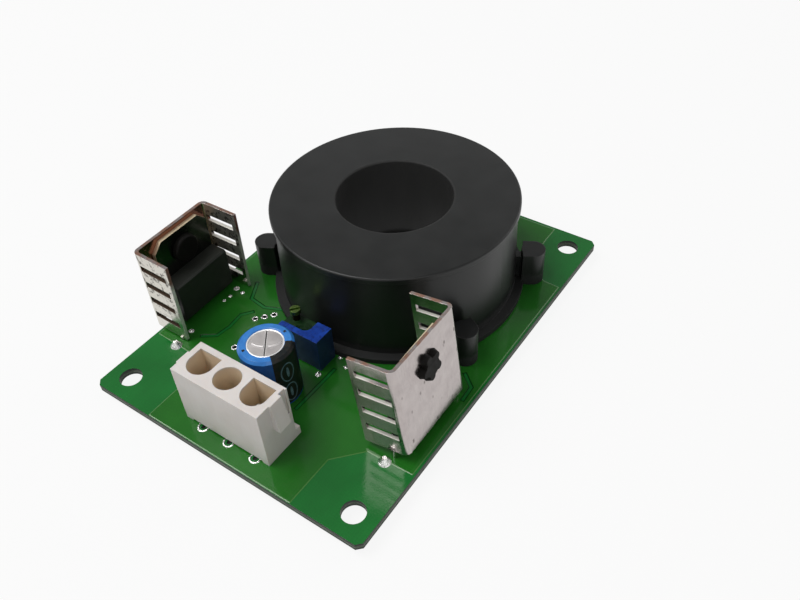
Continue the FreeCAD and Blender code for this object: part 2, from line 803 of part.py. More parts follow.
def snap_rivet(side, place):
    """Push rivet through tab and sink: round head inside, hub and five splayed lobes outside."""
    height = HOLE_HEIGHT
    front = "tab_to_leads - tab_thickness"
    outside = "tab_to_leads + sink_sheet"
    along = Vector(1, 0, 0)
    head = rod("rivet_head", (front + " - rivet_head_height", "0", height), "rivet_head_radius",
               "rivet_head_height", along)
    head_face = size("tab_to_leads") - size("tab_thickness") - size("rivet_head_height")
    domed = rounded("rivet_head_domed", head, size("rivet_head_round"),
                    lambda edge: edge.BoundBox.XMax < head_face + SAME_PLACE)
    shank = rod("rivet_shank", (front, "0", height), "rivet_shank_radius", "tab_thickness + sink_sheet",
                along)
    hub = rod("rivet_hub", (outside, "0", height), "rivet_hub_radius", "rivet_lobe_height", along)
    lobes = []
    for step in range(5):
        turn = "(rivet_lobe_turn + %d * 360 / 5)" % step
        y = "rivet_lobe_offset * cos" + turn
        z = "%s + rivet_lobe_offset * sin%s" % (height, turn)
        lobes.append(cone("rivet_lobe", (outside, y, z), "rivet_lobe_radius", "rivet_lobe_radius * 2 / 3",
                          "rivet_lobe_height", along))
    node("snap_rivet_" + side, join("rivet_" + side, [domed, shank, hub] + lobes), place)


def connector_housing():
    """Header shell: one round and two D cavities, latch ramps on its ends, standing on rails."""
    left = from_left("connector_centre - connector_length / 2")
    front = from_front("connector_front")
    base = "board_thickness + connector_stand"
    tall = "connector_height - connector_stand"
    top = "board_thickness + connector_height"
    shell = box("connector_block", (left, front, base), ("connector_length", "connector_depth", tall))
    rails = [box("connector_rail", ("%s + %s" % (left, place), front, "board_thickness"),
                 ("connector_stand_width", "connector_depth", "connector_stand + root_overlap"))
             for place in ("0", "connector_length - connector_stand_width")]
    foot = box("connector_foot",
               (left + " + connector_length - connector_foot_width",
                front + " + connector_depth - root_overlap", "board_thickness"),
               ("connector_foot_width", "connector_foot_depth + root_overlap", "connector_foot_height"))
    solid = join("connector_solid", [shell] + rails + [foot])
    tools = []
    row = from_front("connector_front + connector_depth / 2")
    floor = top + " - connector_cavity_depth"
    for (x, y), flat_back in zip(connector_pin_places(), (True, False, True)):
        tools.append(rod("cavity", (x, row, floor), "connector_cavity_radius", "connector_cavity_depth + 1"))
        if flat_back:
            tools.append(box("cavity_back", (x + " - connector_cavity_radius", row, floor),
                             ("2 * connector_cavity_radius", "connector_cavity_radius",
                              "connector_cavity_depth + 1")))
        tools.append(rod("pin_passage", (x, row, "board_thickness - 1"), "connector_pin_radius + fit_gap",
                         floor + " + 2"))
    slot_left = left + " + connector_length - latch_slot_depth"
    slot_front = row + " + latch_ramp_shift + latch_ramp_width / 2"
    slot_width = "connector_depth / 2 - latch_ramp_shift - latch_ramp_width / 2 - latch_slot_lip"
    tools.append(box("latch_slot", (slot_left, slot_front, top + " - latch_ramp_drop"),
                     ("latch_slot_depth + 1", slot_width, "latch_ramp_drop + 1")))
    hollowed = cut("connector_hollowed", solid, tools)
    ramps = [latch_ramp(side) for side in (-1, 1)]
    node("connector_housing", join("connector_shell", [hollowed] + ramps))


def latch_ramp(side):
    """Wedge that the plug's latch rides over, growing thicker downwards."""
    top = "board_thickness + connector_height"
    end = "%s + %d * connector_length / 2" % (from_left("connector_centre"), side)
    root = "%s - %d * root_overlap" % (end, side)
    start = "%s + %d * latch_ramp_start" % (end, side)
    grown = "%s + %d * latch_ramp_proud" % (end, side)
    drop = top + " - latch_ramp_drop"
    ramp = padded_body("latch_ramp_%s" % ("right" if side > 0 else "left"), "XZ_Plane",
                       [(root, top), (start, top), (grown, drop), (root, drop)],
                       "latch_ramp_width", both_ways=True)
    row = from_front("connector_front + connector_depth / 2 + %d * latch_ramp_shift" % side)
    return bind_position(ramp, "0", row, "0")


def connector_pins():
    """Three round contacts standing in the cavities, with tails through the board."""
    floor = "board_thickness + connector_height - connector_cavity_depth"
    pins = []
    for x, y in connector_pin_places():
        tip_height = "%s + connector_pin_top - connector_pin_radius" % floor
        contact = rod("contact", (x, y, "board_thickness"), "connector_pin_radius",
                      tip_height + " - board_thickness")
        tip = cone("contact_tip", (x, y, tip_height), "connector_pin_radius", "connector_pin_radius / 2",
                   "connector_pin_radius")
        tail = rod("contact_tail", (x, y, "-lead_tail"), "connector_tail_radius",
                   "board_thickness + lead_tail")
        pins.append(join("connector_pin", [contact, tip, tail]))
    node("connector_pins", group("pin_set", pins))


def capacitor():
    """Radial capacitor: scored can in a shrunk sleeve, closed by a rubber bung with two legs."""
    place = Placement(
        Vector(size("capacitor_left") - size("board_width") / 2,
               size("capacitor_front") - size("board_front_to_axis"),
               size("board_thickness")), Rotation())
    low, groove = "capacitor_sleeve", "capacitor_groove_height"
    bung_top = low + " + capacitor_bung_height"
    can = turned_body("can_turned", [
        ("0", bung_top + " + fit_gap"),
        ("capacitor_bung_radius + fit_gap", bung_top + " + fit_gap"),
        ("capacitor_bung_radius + fit_gap", low),
        ("capacitor_radius", low),
        ("capacitor_radius", groove + " - capacitor_groove_radius"),
        ("capacitor_radius - capacitor_groove_radius", groove),
        ("capacitor_radius", groove + " + capacitor_groove_radius"),
        ("capacitor_radius", "capacitor_height"),
        ("0", "capacitor_height"),
    ])
    rim_low = size("capacitor_height") - SAME_PLACE
    domed = rounded("can_domed", can, size("capacitor_rim_round"),
                    lambda edge: edge.BoundBox.ZMin > rim_low and isinstance(edge.Curve, Part.Circle))
    score = box("can_score", ("-capacitor_score_width / 2", "-capacitor_radius",
                              "capacitor_height - capacitor_score_depth"),
                ("capacitor_score_width", "2 * capacitor_radius", "1"))
    turned_score = group("turned_score", [score])
    turned_score.Placement.Rotation = Rotation(Vector(0, 0, 1), size("capacitor_score_turn"))
    node("capacitor_can", cut("scored_can", domed, [turned_score]), place)

    inside = "capacitor_radius + capacitor_sleeve_gap"
    outside = inside + " + capacitor_sleeve"
    opening = inside + " - capacitor_sleeve_lip"
    roof = "capacitor_height + capacitor_sleeve_gap"
    sleeve = turned_body("sleeve_turned", [
        (opening, "0"),
        (outside, "0"),
        (outside, roof + " + capacitor_sleeve - capacitor_sleeve_bevel"),
        (outside + " - capacitor_sleeve_bevel", roof + " + capacitor_sleeve"),
        (opening, roof + " + capacitor_sleeve"),
        (opening, roof),
        (inside + " - capacitor_sleeve_bevel", roof),
        (inside, roof + " - capacitor_sleeve_bevel"),
        (inside, low),
        (opening, low),
    ])
    node("capacitor_sleeve", sleeve, place)

    bung = rod("bung_disc", ("0", "0", "0"), "capacitor_bung_radius", "capacitor_bung_height")
    bores = [rod("bung_bore", ("%d * capacitor_lead_pitch / 2" % side, "0", "-1"),
                 "capacitor_lead_radius + fit_gap", "capacitor_bung_height + 2") for side in (-1, 1)]
    doc.recompute()
    seat = place.multiply(Placement(Vector(0, 0, size("capacitor_sleeve")), Rotation()))
    node("capacitor_bung", cut("drilled_bung", bung, bores), seat)
    legs = [rod("capacitor_leg", (x, y, "-lead_tail"), "capacitor_lead_radius",
                "board_thickness + lead_tail + capacitor_sleeve + capacitor_bung_height")
            for x, y in capacitor_lead_places()]
    node("capacitor_leads", group("capacitor_legs", legs))


def trimmer():
    """Upright trimmer: L-shaped blue case, seal in its well, headed brass screw and three legs."""
    left, front = from_left("trimmer_left"), from_front("trimmer_front")
    base, top = "board_thickness + trimmer_stand", "board_thickness + trimmer_height"
    block = box("trimmer_block_solid", (left, front, base),
                ("trimmer_length", "trimmer_depth", "trimmer_height - trimmer_stand"))
    rails = [box("trimmer_rail", ("%s + %s" % (left, place), front, "board_thickness"),
                 ("trimmer_rail", "trimmer_depth", "trimmer_stand + root_overlap"))
             for place in ("0", "trimmer_length - trimmer_rail")]
    case = join("trimmer_case_solid", [block] + rails)
    floor = base + " + trimmer_floor"
    corner_x = size("trimmer_left") + size("trimmer_length") - size("trimmer_block") - size("board_width") / 2
    corner_y = size("trimmer_front") + size("trimmer_front_wall") - size("board_front_to_axis")

    def well(name, low, high):
        piece = box(name, (left, front + " + trimmer_front_wall", low),
                    ("trimmer_length - trimmer_block", "trimmer_depth - trimmer_front_wall",
                     "%s - (%s)" % (high, low)))
        return rounded(name + "_round", piece, size("trimmer_well_round"), lambda edge: (
            edge.BoundBox.XMin > corner_x - SAME_PLACE
            and edge.BoundBox.YMax < corner_y + SAME_PLACE))

    node("trimmer_housing", cut("trimmer_case", case, [well("trimmer_well", floor, top + " + 1")]))

    seal_top = top + " - trimmer_seal_drop"
    shaft_low = seal_top + " - trimmer_screw_depth"
    screw_x = left + " + trimmer_screw_left"
    screw_y = front + " + trimmer_depth - trimmer_screw_back"
    bore = rod("seal_bore", (screw_x, screw_y, shaft_low + " - running_gap"),
               "trimmer_screw_radius + running_gap", "trimmer_screw_depth + 1")
    node("trimmer_seal", cut("trimmer_seal_bored", well("seal_block", floor, seal_top), [bore]))

    head_top = seal_top + " + trimmer_screw_proud"
    shaft = rod("adjuster_shaft", (screw_x, screw_y, shaft_low), "trimmer_screw_radius",
                "trimmer_screw_depth + trimmer_screw_proud")
    head = rod("adjuster_head", (screw_x, screw_y, head_top + " - trimmer_head_height"),
               "trimmer_head_radius", "trimmer_head_height")
    slot = box("adjuster_slot", ("-trimmer_head_radius - 1", "-trimmer_slot_width / 2", "0"),
               ("2 * trimmer_head_radius + 2", "trimmer_slot_width", "trimmer_slot_depth + 1"))
    turned_slot = group("turned_slot", [slot])
    turned_slot.Placement.Rotation = Rotation(Vector(0, 0, 1), size("trimmer_slot_turn"))
    bind_position(turned_slot, screw_x, screw_y, head_top + " - trimmer_slot_depth")
    node("trimmer_screw", cut("slotted_adjuster", join("adjuster_solid", [shaft, head]), [turned_slot]))

    legs = [rod("trimmer_leg", (x, y, "-lead_tail"), "trimmer_lead_radius",
                "board_thickness + lead_tail + trimmer_stand") for x, y in trimmer_lead_places()]
    node("trimmer_leads", group("trimmer_legs", legs))


def solder_joints():
    """Solder fillets round every leg under the board, and two domed joints on top."""
    fillets = []
    for name, places, radius in LEGS:
        for x, y in places:
            shoulder, wide = "solder_shoulder", "solder_radius"
            if name == "hall":
                shoulder, wide = "solder_shoulder / 2", "hall_lead_pitch / 2 - running_gap"
            fillet = cone("solder_cone", (x, y, "-solder_height"), "%s + %s" % (radius, shoulder), wide,
                          "solder_height")
            hole = rod("leg_in_solder", (x, y, "-solder_height - 1"), radius, "solder_height + 2")
            fillets.append(cut("solder_fillet", fillet, [hole]))
    node("solder_joints", group("solder_set", fillets))
    domes = []
    for x in (from_left("top_joint_inset"), from_right("top_joint_inset")):
        domes.append(cone("top_joint", (x, from_front("top_joint_front"), "board_thickness"),
                          "top_joint_radius", "top_joint_radius / 3", "top_joint_height"))
    node("top_solder_joints", group("top_joint_pair", domes))


def build():
    circuit_board()
    sensor_housing()
    housing_screws()
    magnetic_core()
    secondary_winding()
    coil_wires()
    hall_element()
    potting_resin()
    for side in ("left", "right"):
        place = leaning_place(side)
        heat_sink(side, place)
        transistor(side, place)
        snap_rivet(side, place)
    connector_housing()
    connector_pins()
    capacitor()
    trimmer()
    solder_joints()
    doc.recompute()


def check_and_write():
    """Stops on any failed object, then writes each sub-part to its own file."""
    failed = [item.Name for item in doc.Objects if set(item.State) & {"Invalid", "Error"}]
    if failed:
        raise RuntimeError("failed objects: " + ", ".join(failed))
    for name, item in nodes.items():
        if item.Shape.isNull() or not item.Shape.isValid():
            raise RuntimeError("bad shape: " + name)
    os.makedirs("parts", exist_ok=True)
    for name, item in nodes.items():
        item.Shape.exportStep("parts/%s.step" % name)
        print("%-24s %2d solids %10.2f mm3" % (name, len(item.Shape.Solids), item.Shape.Volume))


build()
check_and_write()
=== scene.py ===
import json
import math

import bmesh
import bpy
from mathutils import Matrix, Vector


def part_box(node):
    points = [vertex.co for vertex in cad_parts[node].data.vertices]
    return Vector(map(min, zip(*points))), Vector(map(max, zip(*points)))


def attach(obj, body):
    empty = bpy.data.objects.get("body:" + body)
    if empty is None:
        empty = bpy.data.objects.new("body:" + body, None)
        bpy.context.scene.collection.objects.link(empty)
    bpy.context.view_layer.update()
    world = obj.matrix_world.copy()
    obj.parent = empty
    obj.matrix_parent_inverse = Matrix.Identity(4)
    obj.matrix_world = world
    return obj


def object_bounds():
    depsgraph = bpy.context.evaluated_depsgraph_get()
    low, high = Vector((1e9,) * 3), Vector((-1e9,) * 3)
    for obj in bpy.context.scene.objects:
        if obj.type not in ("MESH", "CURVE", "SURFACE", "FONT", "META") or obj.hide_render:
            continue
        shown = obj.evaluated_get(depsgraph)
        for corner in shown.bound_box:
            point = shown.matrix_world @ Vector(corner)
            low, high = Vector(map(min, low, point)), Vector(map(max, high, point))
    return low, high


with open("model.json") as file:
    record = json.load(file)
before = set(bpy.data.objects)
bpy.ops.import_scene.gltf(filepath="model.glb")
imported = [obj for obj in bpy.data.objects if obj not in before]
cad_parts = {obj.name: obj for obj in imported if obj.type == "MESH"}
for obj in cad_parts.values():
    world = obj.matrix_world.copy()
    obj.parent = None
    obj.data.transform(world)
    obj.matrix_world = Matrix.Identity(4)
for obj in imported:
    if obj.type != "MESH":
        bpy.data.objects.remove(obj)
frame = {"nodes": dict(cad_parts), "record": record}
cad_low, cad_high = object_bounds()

# Dresses the hall effect current sensor: a finish for every CAD node, and as pieces of their own
# the copper below the lacquer, pads, solder beads, the capacitor's print and its pressed can end.
# The frame is in metres. Sizes on the object are in millimetres here and become metres with MM;
# the studio's are in metres.

MM = 0.001
BODY = "sensor"

# Places on the board are measured from its front left corner, as on a board drawing.
BOARD_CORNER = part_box("circuit_board")[0]
BOARD_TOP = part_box("circuit_board")[1].z
BOARD_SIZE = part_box("circuit_board")[1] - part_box("circuit_board")[0]


def on_board(across, back, up=0.0):
    """A point over the board, from millimetres right of and behind its front left corner."""
    return Vector((BOARD_CORNER.x + across * MM, BOARD_CORNER.y + back * MM, BOARD_TOP + up * MM))


# Camera, as solved from the photograph's 800 by 600 frame

PHOTO_WIDTH = 800
FOCAL_PIXELS = 792.502
SENSOR_WIDTH = 36.0
CAMERA_AT = Vector((77.797, -103.326, 117.423)) * MM
CAMERA_AZIMUTH = 37.082
CAMERA_ELEVATION = 43.854
CAMERA_ROLL = -3.592
NEAREST_SEEN = 1.0 * MM


def make_camera():
    azimuth = math.radians(CAMERA_AZIMUTH)
    elevation = math.radians(CAMERA_ELEVATION)
    roll = math.radians(CAMERA_ROLL)
    back = Vector((math.sin(azimuth) * math.cos(elevation),
                   -math.cos(azimuth) * math.cos(elevation), math.sin(elevation)))
    right = Vector((math.cos(azimuth), math.sin(azimuth), 0))
    up = back.cross(right)
    across = right * math.cos(roll) + up * math.sin(roll)
    upward = up * math.cos(roll) - right * math.sin(roll)
    lens = bpy.data.cameras.new("camera")
    lens.sensor_fit = "HORIZONTAL"
    lens.sensor_width = SENSOR_WIDTH
    lens.lens = FOCAL_PIXELS * SENSOR_WIDTH / PHOTO_WIDTH
    lens.clip_start = NEAREST_SEEN
    camera = bpy.data.objects.new("camera", lens)
    turn = Matrix((across, upward, back)).transposed()
    camera.matrix_world = Matrix.Translation(CAMERA_AT) @ turn.to_4x4()
    bpy.context.scene.collection.objects.link(camera)
    bpy.context.scene.camera = camera


# Node graphs

WAVE_PHASE = 20  # radians that the wave texture turns in a metre, at a scale of 1


class Graph:
    """A node tree that is built up call by call. Lengths are millimetres on the object."""

    def __init__(self, name, owner=None):
        self.owner = owner or bpy.data.materials.new(name)
        self.owner.use_nodes = True
        self.tree = self.owner.node_tree
        self.shader = self.tree.nodes.get("Principled BSDF")
        self._coordinates = None

    def add(self, kind, inputs=None, **settings):
        node = self.tree.nodes.new(kind)
        for key, value in settings.items():
            setattr(node, key, value)
        for key, value in (inputs or {}).items():
            self.feed(node.inputs[key], value)
        return node

    def feed(self, socket, value):
        if isinstance(value, bpy.types.NodeSocket):
            self.tree.links.new(value, socket)
        elif socket.type == "RGBA" and len(value) == 3:
            socket.default_value = (*value, 1.0)
        else:
            socket.default_value = value

    def coordinate(self, kind="Object"):
        if self._coordinates is None:
            self._coordinates = self.add("ShaderNodeTexCoord")
        return self._coordinates.outputs[kind]

    def stretched(self, stretch):
        if stretch == (1, 1, 1):
            return self.coordinate()
        scaling = {"Vector": self.coordinate(), "Scale": stretch}
        return self.add("ShaderNodeMapping", scaling).outputs[0]

    def axis(self, name, kind="Object"):
        return self.add("ShaderNodeSeparateXYZ", {0: self.coordinate(kind)}).outputs[name]

    def radius(self):
        """Distance from the conductor hole's axis."""
        flat = self.add("ShaderNodeVectorMath", {0: self.coordinate(), 1: (1, 1, 0)},
                        operation="MULTIPLY").outputs[0]
        return self.add("ShaderNodeVectorMath", {0: flat}, operation="LENGTH").outputs["Value"]

    def noise(self, pitch, detail=2.0, rough=0.5, stretch=(1, 1, 1)):
        """Soft noise whose lumps are about pitch millimetres across."""
        settings = {"Vector": self.stretched(stretch), "Scale": 1 / (pitch * MM),
                    "Detail": detail, "Roughness": rough}
        return self.add("ShaderNodeTexNoise", settings).outputs["Fac"]

    def cells(self, pitch, stretch=(1, 1, 1)):
        """Distance to the nearest of points that are scattered about pitch millimetres apart."""
        settings = {"Vector": self.stretched(stretch), "Scale": 1 / (pitch * MM)}
        return self.add("ShaderNodeTexVoronoi", settings).outputs["Distance"]

    def bands(self, pitch, direction):
        """Straight waves with the given spacing along X, Y or Z."""
        settings = {"Vector": self.coordinate(), "Scale": math.tau / (WAVE_PHASE * pitch * MM)}
        return self.add("ShaderNodeTexWave", settings, bands_direction=direction).outputs["Fac"]

    def calc(self, operation, first, second=0.0):
        return self.add("ShaderNodeMath", {0: first, 1: second}, operation=operation).outputs[0]

    def times(self, first, second):
        return self.calc("MULTIPLY", first, second)

    def plus(self, first, second):
        return self.calc("ADD", first, second)

    def span(self, value, low, high, to_low=0.0, to_high=1.0, smooth=False):
        settings = {"Value": value, "From Min": low, "From Max": high,
                    "To Min": to_low, "To Max": to_high}
        kind = "SMOOTHSTEP" if smooth else "LINEAR"
        return self.add("ShaderNodeMapRange", settings, interpolation_type=kind).outputs["Result"]

    def fade(self, value, start, end):
        """0 up to start and 1 from end on, for a value in metres and limits in millimetres."""
        return self.span(value, start * MM, end * MM)

    def blend(self, share, first, second):
        node = self.add("ShaderNodeMix", data_type="RGBA")
        self.feed(node.inputs[0], share)
        self.feed(node.inputs[6], first)
        self.feed(node.inputs[7], second)
        return node.outputs[2]

    def edges(self, radius, low=0.02, high=0.2):
        """1 along the object's edges and 0 on its flats: how far a rounded normal turns away."""
        rounded = self.add("ShaderNodeBevel", {"Radius": radius * MM}, samples=6).outputs[0]
        plain = self.add("ShaderNodeNewGeometry").outputs["Normal"]
        alike = self.add("ShaderNodeVectorMath", {0: rounded, 1: plain},
                         operation="DOT_PRODUCT").outputs["Value"]
        return self.span(self.calc("SUBTRACT", 1.0, alike), low, high)

    def finish(self, colour, roughness, metallic=0.0, height=None, depth=0.02, edge=0.0,
               **constants):
        """Fills the surface shader. depth is the bump's full height, edge the corners' rounding."""
        self.feed(self.shader.inputs["Base Color"], colour)
        self.feed(self.shader.inputs["Roughness"], roughness)
        self.shader.inputs["Metallic"].default_value = metallic
        for key, value in constants.items():
            self.shader.inputs[key.replace("_", " ")].default_value = value
        normal = None
        if edge:
            normal = self.add("ShaderNodeBevel", {"Radius": edge * MM}, samples=4).outputs[0]
        if height is not None:
            relief = {"Height": height, "Distance": depth * MM, "Strength": 1.0}
            bump = self.add("ShaderNodeBump", relief)
            if normal is not None:
                self.feed(bump.inputs["Normal"], normal)
            normal = bump.outputs[0]
        if normal is not None:
            self.feed(self.shader.inputs["Normal"], normal)
        return self.owner


def dimmed(tone, share):
    return tuple(channel * share for channel in tone)


# Finishes

MASK_ON_LAMINATE = (0.009, 0.150, 0.024)
MASK_ON_COPPER = (0.016, 0.138, 0.013)
MASK_ON_RIM = (0.055, 0.17, 0.035)
MASK_IN_GAP = (0.004, 0.035, 0.006)
WEAVE_PITCH = (0.62, 0.55)


def solder_mask(name, tone, rim=None, gleam=0.36):
    """Green lacquer over woven laminate, with bare sawn edges. It takes the rim tone on slopes,
    where it lies over the rims of the copper."""
    g = Graph(name)
    rim = rim or tone
    cloud = g.noise(14, 3)
    streak = g.noise(1.2, 3, stretch=(1, 0.25, 1))
    weave = g.times(g.bands(WEAVE_PITCH[0], "X"), g.bands(WEAVE_PITCH[1], "Y"))
    green = g.blend(g.span(cloud, 0.35, 0.68), dimmed(tone, 0.74), tone)
    green = g.blend(g.times(weave, 0.14), green, dimmed(tone, 0.5))
    green = g.blend(g.times(streak, 0.16), green, dimmed(tone, 1.5))
    speck = g.span(g.cells(1.7), 0.045, 0.03)
    rare = g.span(g.noise(3.1), 0.66, 0.7)
    green = g.blend(g.times(speck, rare), green, (0.40, 0.52, 0.38))
    flatness = g.calc("ABSOLUTE", g.axis("Z", "Normal"))
    green = g.blend(g.span(flatness, 0.995, 0.96), green, rim)
    level = g.calc("DIVIDE", g.axis("Z"), BOARD_TOP)
    core = g.times(g.span(level, 0.2, 0.42), g.span(level, 0.74, 0.55))
    fibre = g.span(g.noise(0.5, 4, stretch=(0.3, 0.3, 3)), 0.35, 0.7)
    sawn = g.blend(fibre, (0.040, 0.055, 0.035), (0.16, 0.18, 0.14))
    sawn = g.blend(core, (0.005, 0.014, 0.006), sawn)
    side = g.span(flatness, 0.6, 0.4)
    colour = g.blend(side, green, sawn)
    shine = g.span(g.noise(5, 3), 0.3, 0.7, 0.10, 0.19)
    shine = g.plus(shine, g.times(side, 0.45))
    ripple = g.plus(g.times(weave, 0.2), g.noise(2.2, 2))
    return g.finish(colour, shine, height=ripple, depth=0.012, edge=0.05,
                    Specular_IOR_Level=gleam)


# Radius and height where the drum's bore and foot begin, each as a start and an end
BORE_WALL = (12.4, 12.1)
DRUM_FOOT = (4.5, 3.5)


def black_moulding():
    """Glass-filled plastic: a matt grain, faint flow lines, edges painted lighter as a highlight,
    and a dull bore and foot. The bore wall is also painted lighter, as light inside the bore.
    """
    g = Graph("black_moulding")
    flow = g.noise(6, 3, stretch=(1, 1, 0.3))
    grain = g.noise(0.22, 2)
    in_bore = g.fade(g.radius(), *BORE_WALL)
    in_foot = g.fade(g.axis("Z"), *DRUM_FOOT)
    base = g.blend(g.span(flow, 0.3, 0.7), (0.0068, 0.0074, 0.0072), (0.0105, 0.0112, 0.0109))
    # Painted light: the bore wall is lighter than the rest of the moulding.
    base = g.blend(in_bore, base, (0.010, 0.010, 0.0095))
    # Painted highlight: lighter edges.
    base = g.blend(g.times(g.edges(0.22, 0.03, 0.3), 0.5), base, (0.035, 0.037, 0.036))
    shine = g.plus(g.span(flow, 0.3, 0.7, 0.27, 0.35), g.times(grain, 0.08))
    shine = g.plus(shine, g.times(in_foot, 0.35))
    shine = g.plus(shine, g.times(in_bore, 0.3))
    return g.finish(base, shine, height=grain, depth=0.010, edge=0.15, Specular_IOR_Level=0.36)


def plated_steel():
    g = Graph("plated_steel")
    tarnish = g.noise(0.8, 3)
    colour = g.blend(tarnish, (0.48, 0.48, 0.46), (0.66, 0.66, 0.62))
    return g.finish(colour, g.span(tarnish, 0.3, 0.7, 0.25, 0.4), 1.0, g.noise(0.15), 0.006, 0.08)


def core_steel():
    """Wound strip, whose turns show as fine bands."""
    g = Graph("core_steel")
    turns = g.bands(0.35, "Z")
    colour = g.blend(turns, (0.14, 0.14, 0.15), (0.27, 0.27, 0.28))
    return g.finish(colour, 0.45, 1.0, turns, 0.03)


def enamelled_copper():
    """Wire, whose turns show as bands."""
    g = Graph("enamelled_copper")
    turns = g.bands(0.5, "Z")
    shade = g.noise(1.5, 2)
    colour = g.blend(shade, (0.45, 0.16, 0.05), (0.66, 0.28, 0.10))
    colour = g.blend(g.times(turns, 0.4), colour, (0.2, 0.07, 0.03))
    return g.finish(colour, 0.28, 1.0, turns, 0.08)


def black_epoxy():
    """Moulded semiconductor package: dull and slightly sandy, with its edges painted paler as a
    highlight.
    """
    g = Graph("black_epoxy")
    sand = g.noise(0.12, 3)
    patch = g.noise(4, 2)
    base = g.blend(patch, (0.014, 0.016, 0.0135), (0.022, 0.025, 0.020))
    # Painted highlight: paler edges.
    base = g.blend(g.times(g.edges(0.16, 0.03, 0.3), 0.35), base, (0.05, 0.05, 0.045))
    return g.finish(base, g.span(sand, 0.3, 0.7, 0.42, 0.58), 0.0, sand, 0.014, 0.1,
                    Specular_IOR_Level=0.4)


def cast_resin():
    g = Graph("cast_resin")
    ripple = g.noise(3, 3)
    colour = g.blend(ripple, (0.02, 0.018, 0.016), (0.045, 0.04, 0.036))
    return g.finish(colour, g.span(ripple, 0.3, 0.7, 0.18, 0.36), 0.0, ripple, 0.1)


# Where the heat sinks' sheet changes along X, Y or Z, each as a start and an end
LEFT_SINK_SIDE = (0.0, -1.0)      # X
LEFT_SINK_FRONT = (-30.0, -31.0)  # Y
LEFT_WING_ENDS = (-26.4, -25.9)   # X
# Height below which the left sink's front face gets painted reflections: dark mottled marks.
LOW_FRONT_HEIGHT = (6.0, 9.0)
# Height above which the left sink's faces that look right are painted reddish brown: a painted
# reflection.
BROWN_REFLECTION_HEIGHT = (15.5, 17.5)
SLOTS_TOP = (19.2, 18.8)


def tinned_sheet():
    """Tin-plated sheet: near mirror under a haze of fine upright scratches and pits.

    Sheared top edges show copper. Slot floors and the left sink's wing ends are painted bright as a
    highlight, and the floors in that sink's front wing are painted dark as shade.
    Its front face is painted paler for the light it catches, with dark mottled marks low down that
    are painted reflections. Edges are painted light as a highlight, the left sink's faces that look
    right are painted reddish brown near the top as a reflection, and faces that look down take a
    darker copper as painted shade."""
    g = Graph("tinned_sheet")
    haze = g.noise(2.6, 4)
    scratch = g.noise(0.28, 4, 0.7, stretch=(1, 1, 0.06))
    pit = g.span(g.cells(2.1, stretch=(1, 1, 0.6)), 0.17, 0.08)
    pit = g.times(pit, g.span(g.noise(2.3), 0.44, 0.5))
    tin = g.blend(g.span(haze, 0.3, 0.7), (0.42, 0.375, 0.365), (0.50, 0.455, 0.44))
    tin = g.blend(g.times(g.span(scratch, 0.55, 0.72), 0.35), tin, (0.27, 0.24, 0.23))
    tin = g.blend(g.times(pit, 0.8), tin, (0.10, 0.08, 0.07))

    left = g.fade(g.axis("X"), *LEFT_SINK_SIDE)
    left_front = g.times(g.span(g.axis("Y", "Normal"), -0.8, -0.95), left)
    low_left_front = g.times(left_front, g.fade(g.axis("Z"), *LOW_FRONT_HEIGHT))
    reflection_marks = g.span(g.noise(0.9, 3, 0.65, stretch=(1, 1, 0.8)), 0.53, 0.60)
    # Painted light: the left sink's front face is paler, for the light it catches.
    tin = g.blend(g.times(left_front, 0.8), tin, (0.72, 0.70, 0.63))
    # Painted reflections: dark mottled marks low on that face.
    tin = g.blend(g.times(g.times(low_left_front, reflection_marks), 0.8), tin, (0.05, 0.045, 0.035))

    upward = g.axis("Z", "Normal")
    ledge = g.span(upward, 0.75, 0.9)
    in_slot = g.times(ledge, g.fade(g.axis("Z"), *SLOTS_TOP))
    sheared = g.times(g.calc("SUBTRACT", ledge, in_slot), g.span(g.noise(2.2, 2), 0.42, 0.6))
    left_rightward = g.times(g.span(g.axis("X", "Normal"), 0.7, 0.9), left)
    wing_end = g.times(left_rightward, g.fade(g.axis("X"), *LEFT_WING_ENDS))
    # Painted highlights: upward slot floors and the left sink's wing ends are near white. Painted
    # shade: the slot floors in that sink's front wing are dark.
    bright = g.calc("MAXIMUM", in_slot, wing_end)
    dim = g.times(in_slot, g.times(left, g.fade(g.axis("Y"), *LEFT_SINK_FRONT)))
    tin = g.blend(bright, tin, (0.84, 0.83, 0.77))
    tin = g.blend(dim, tin, (0.10, 0.07, 0.05))

    # Painted highlight: light edges.
    tin = g.blend(g.times(g.edges(0.1, 0.05, 0.3), 0.6), tin, (0.86, 0.82, 0.76))
    tin = g.blend(g.times(sheared, 0.75), tin, (0.46, 0.21, 0.12))
    # Painted reflection: reddish brown high on the left sink's faces that look right.
    brown_reflection = g.times(left_rightward, g.fade(g.axis("Z"), *BROWN_REFLECTION_HEIGHT))
    tin = g.blend(g.times(brown_reflection, 0.85), tin, (0.20, 0.055, 0.025))
    # Painted shade: faces that look down take a darker copy of the copper edge colour.
    tin = g.blend(g.times(g.span(upward, -0.7, -0.9), 0.8), tin, (0.20, 0.10, 0.06))

    shine = g.plus(g.span(haze, 0.3, 0.7, 0.09, 0.18), g.times(scratch, 0.12))
    shine = g.plus(shine, g.times(low_left_front, 0.22))
    shine = g.plus(shine, g.times(bright, 0.45))
    relief = g.calc("SUBTRACT", scratch, g.times(pit, 0.8))
    return g.finish(tin, shine, 1.0, relief, 0.010, 0.12)


def tinned_legs():
    g = Graph("tinned_legs")
    shade = g.noise(0.6, 3)
    colour = g.blend(shade, (0.50, 0.49, 0.46), (0.72, 0.71, 0.68))
    return g.finish(colour, g.span(shade, 0.3, 0.7, 0.2, 0.36), 1.0, g.noise(0.2), 0.008, 0.05)


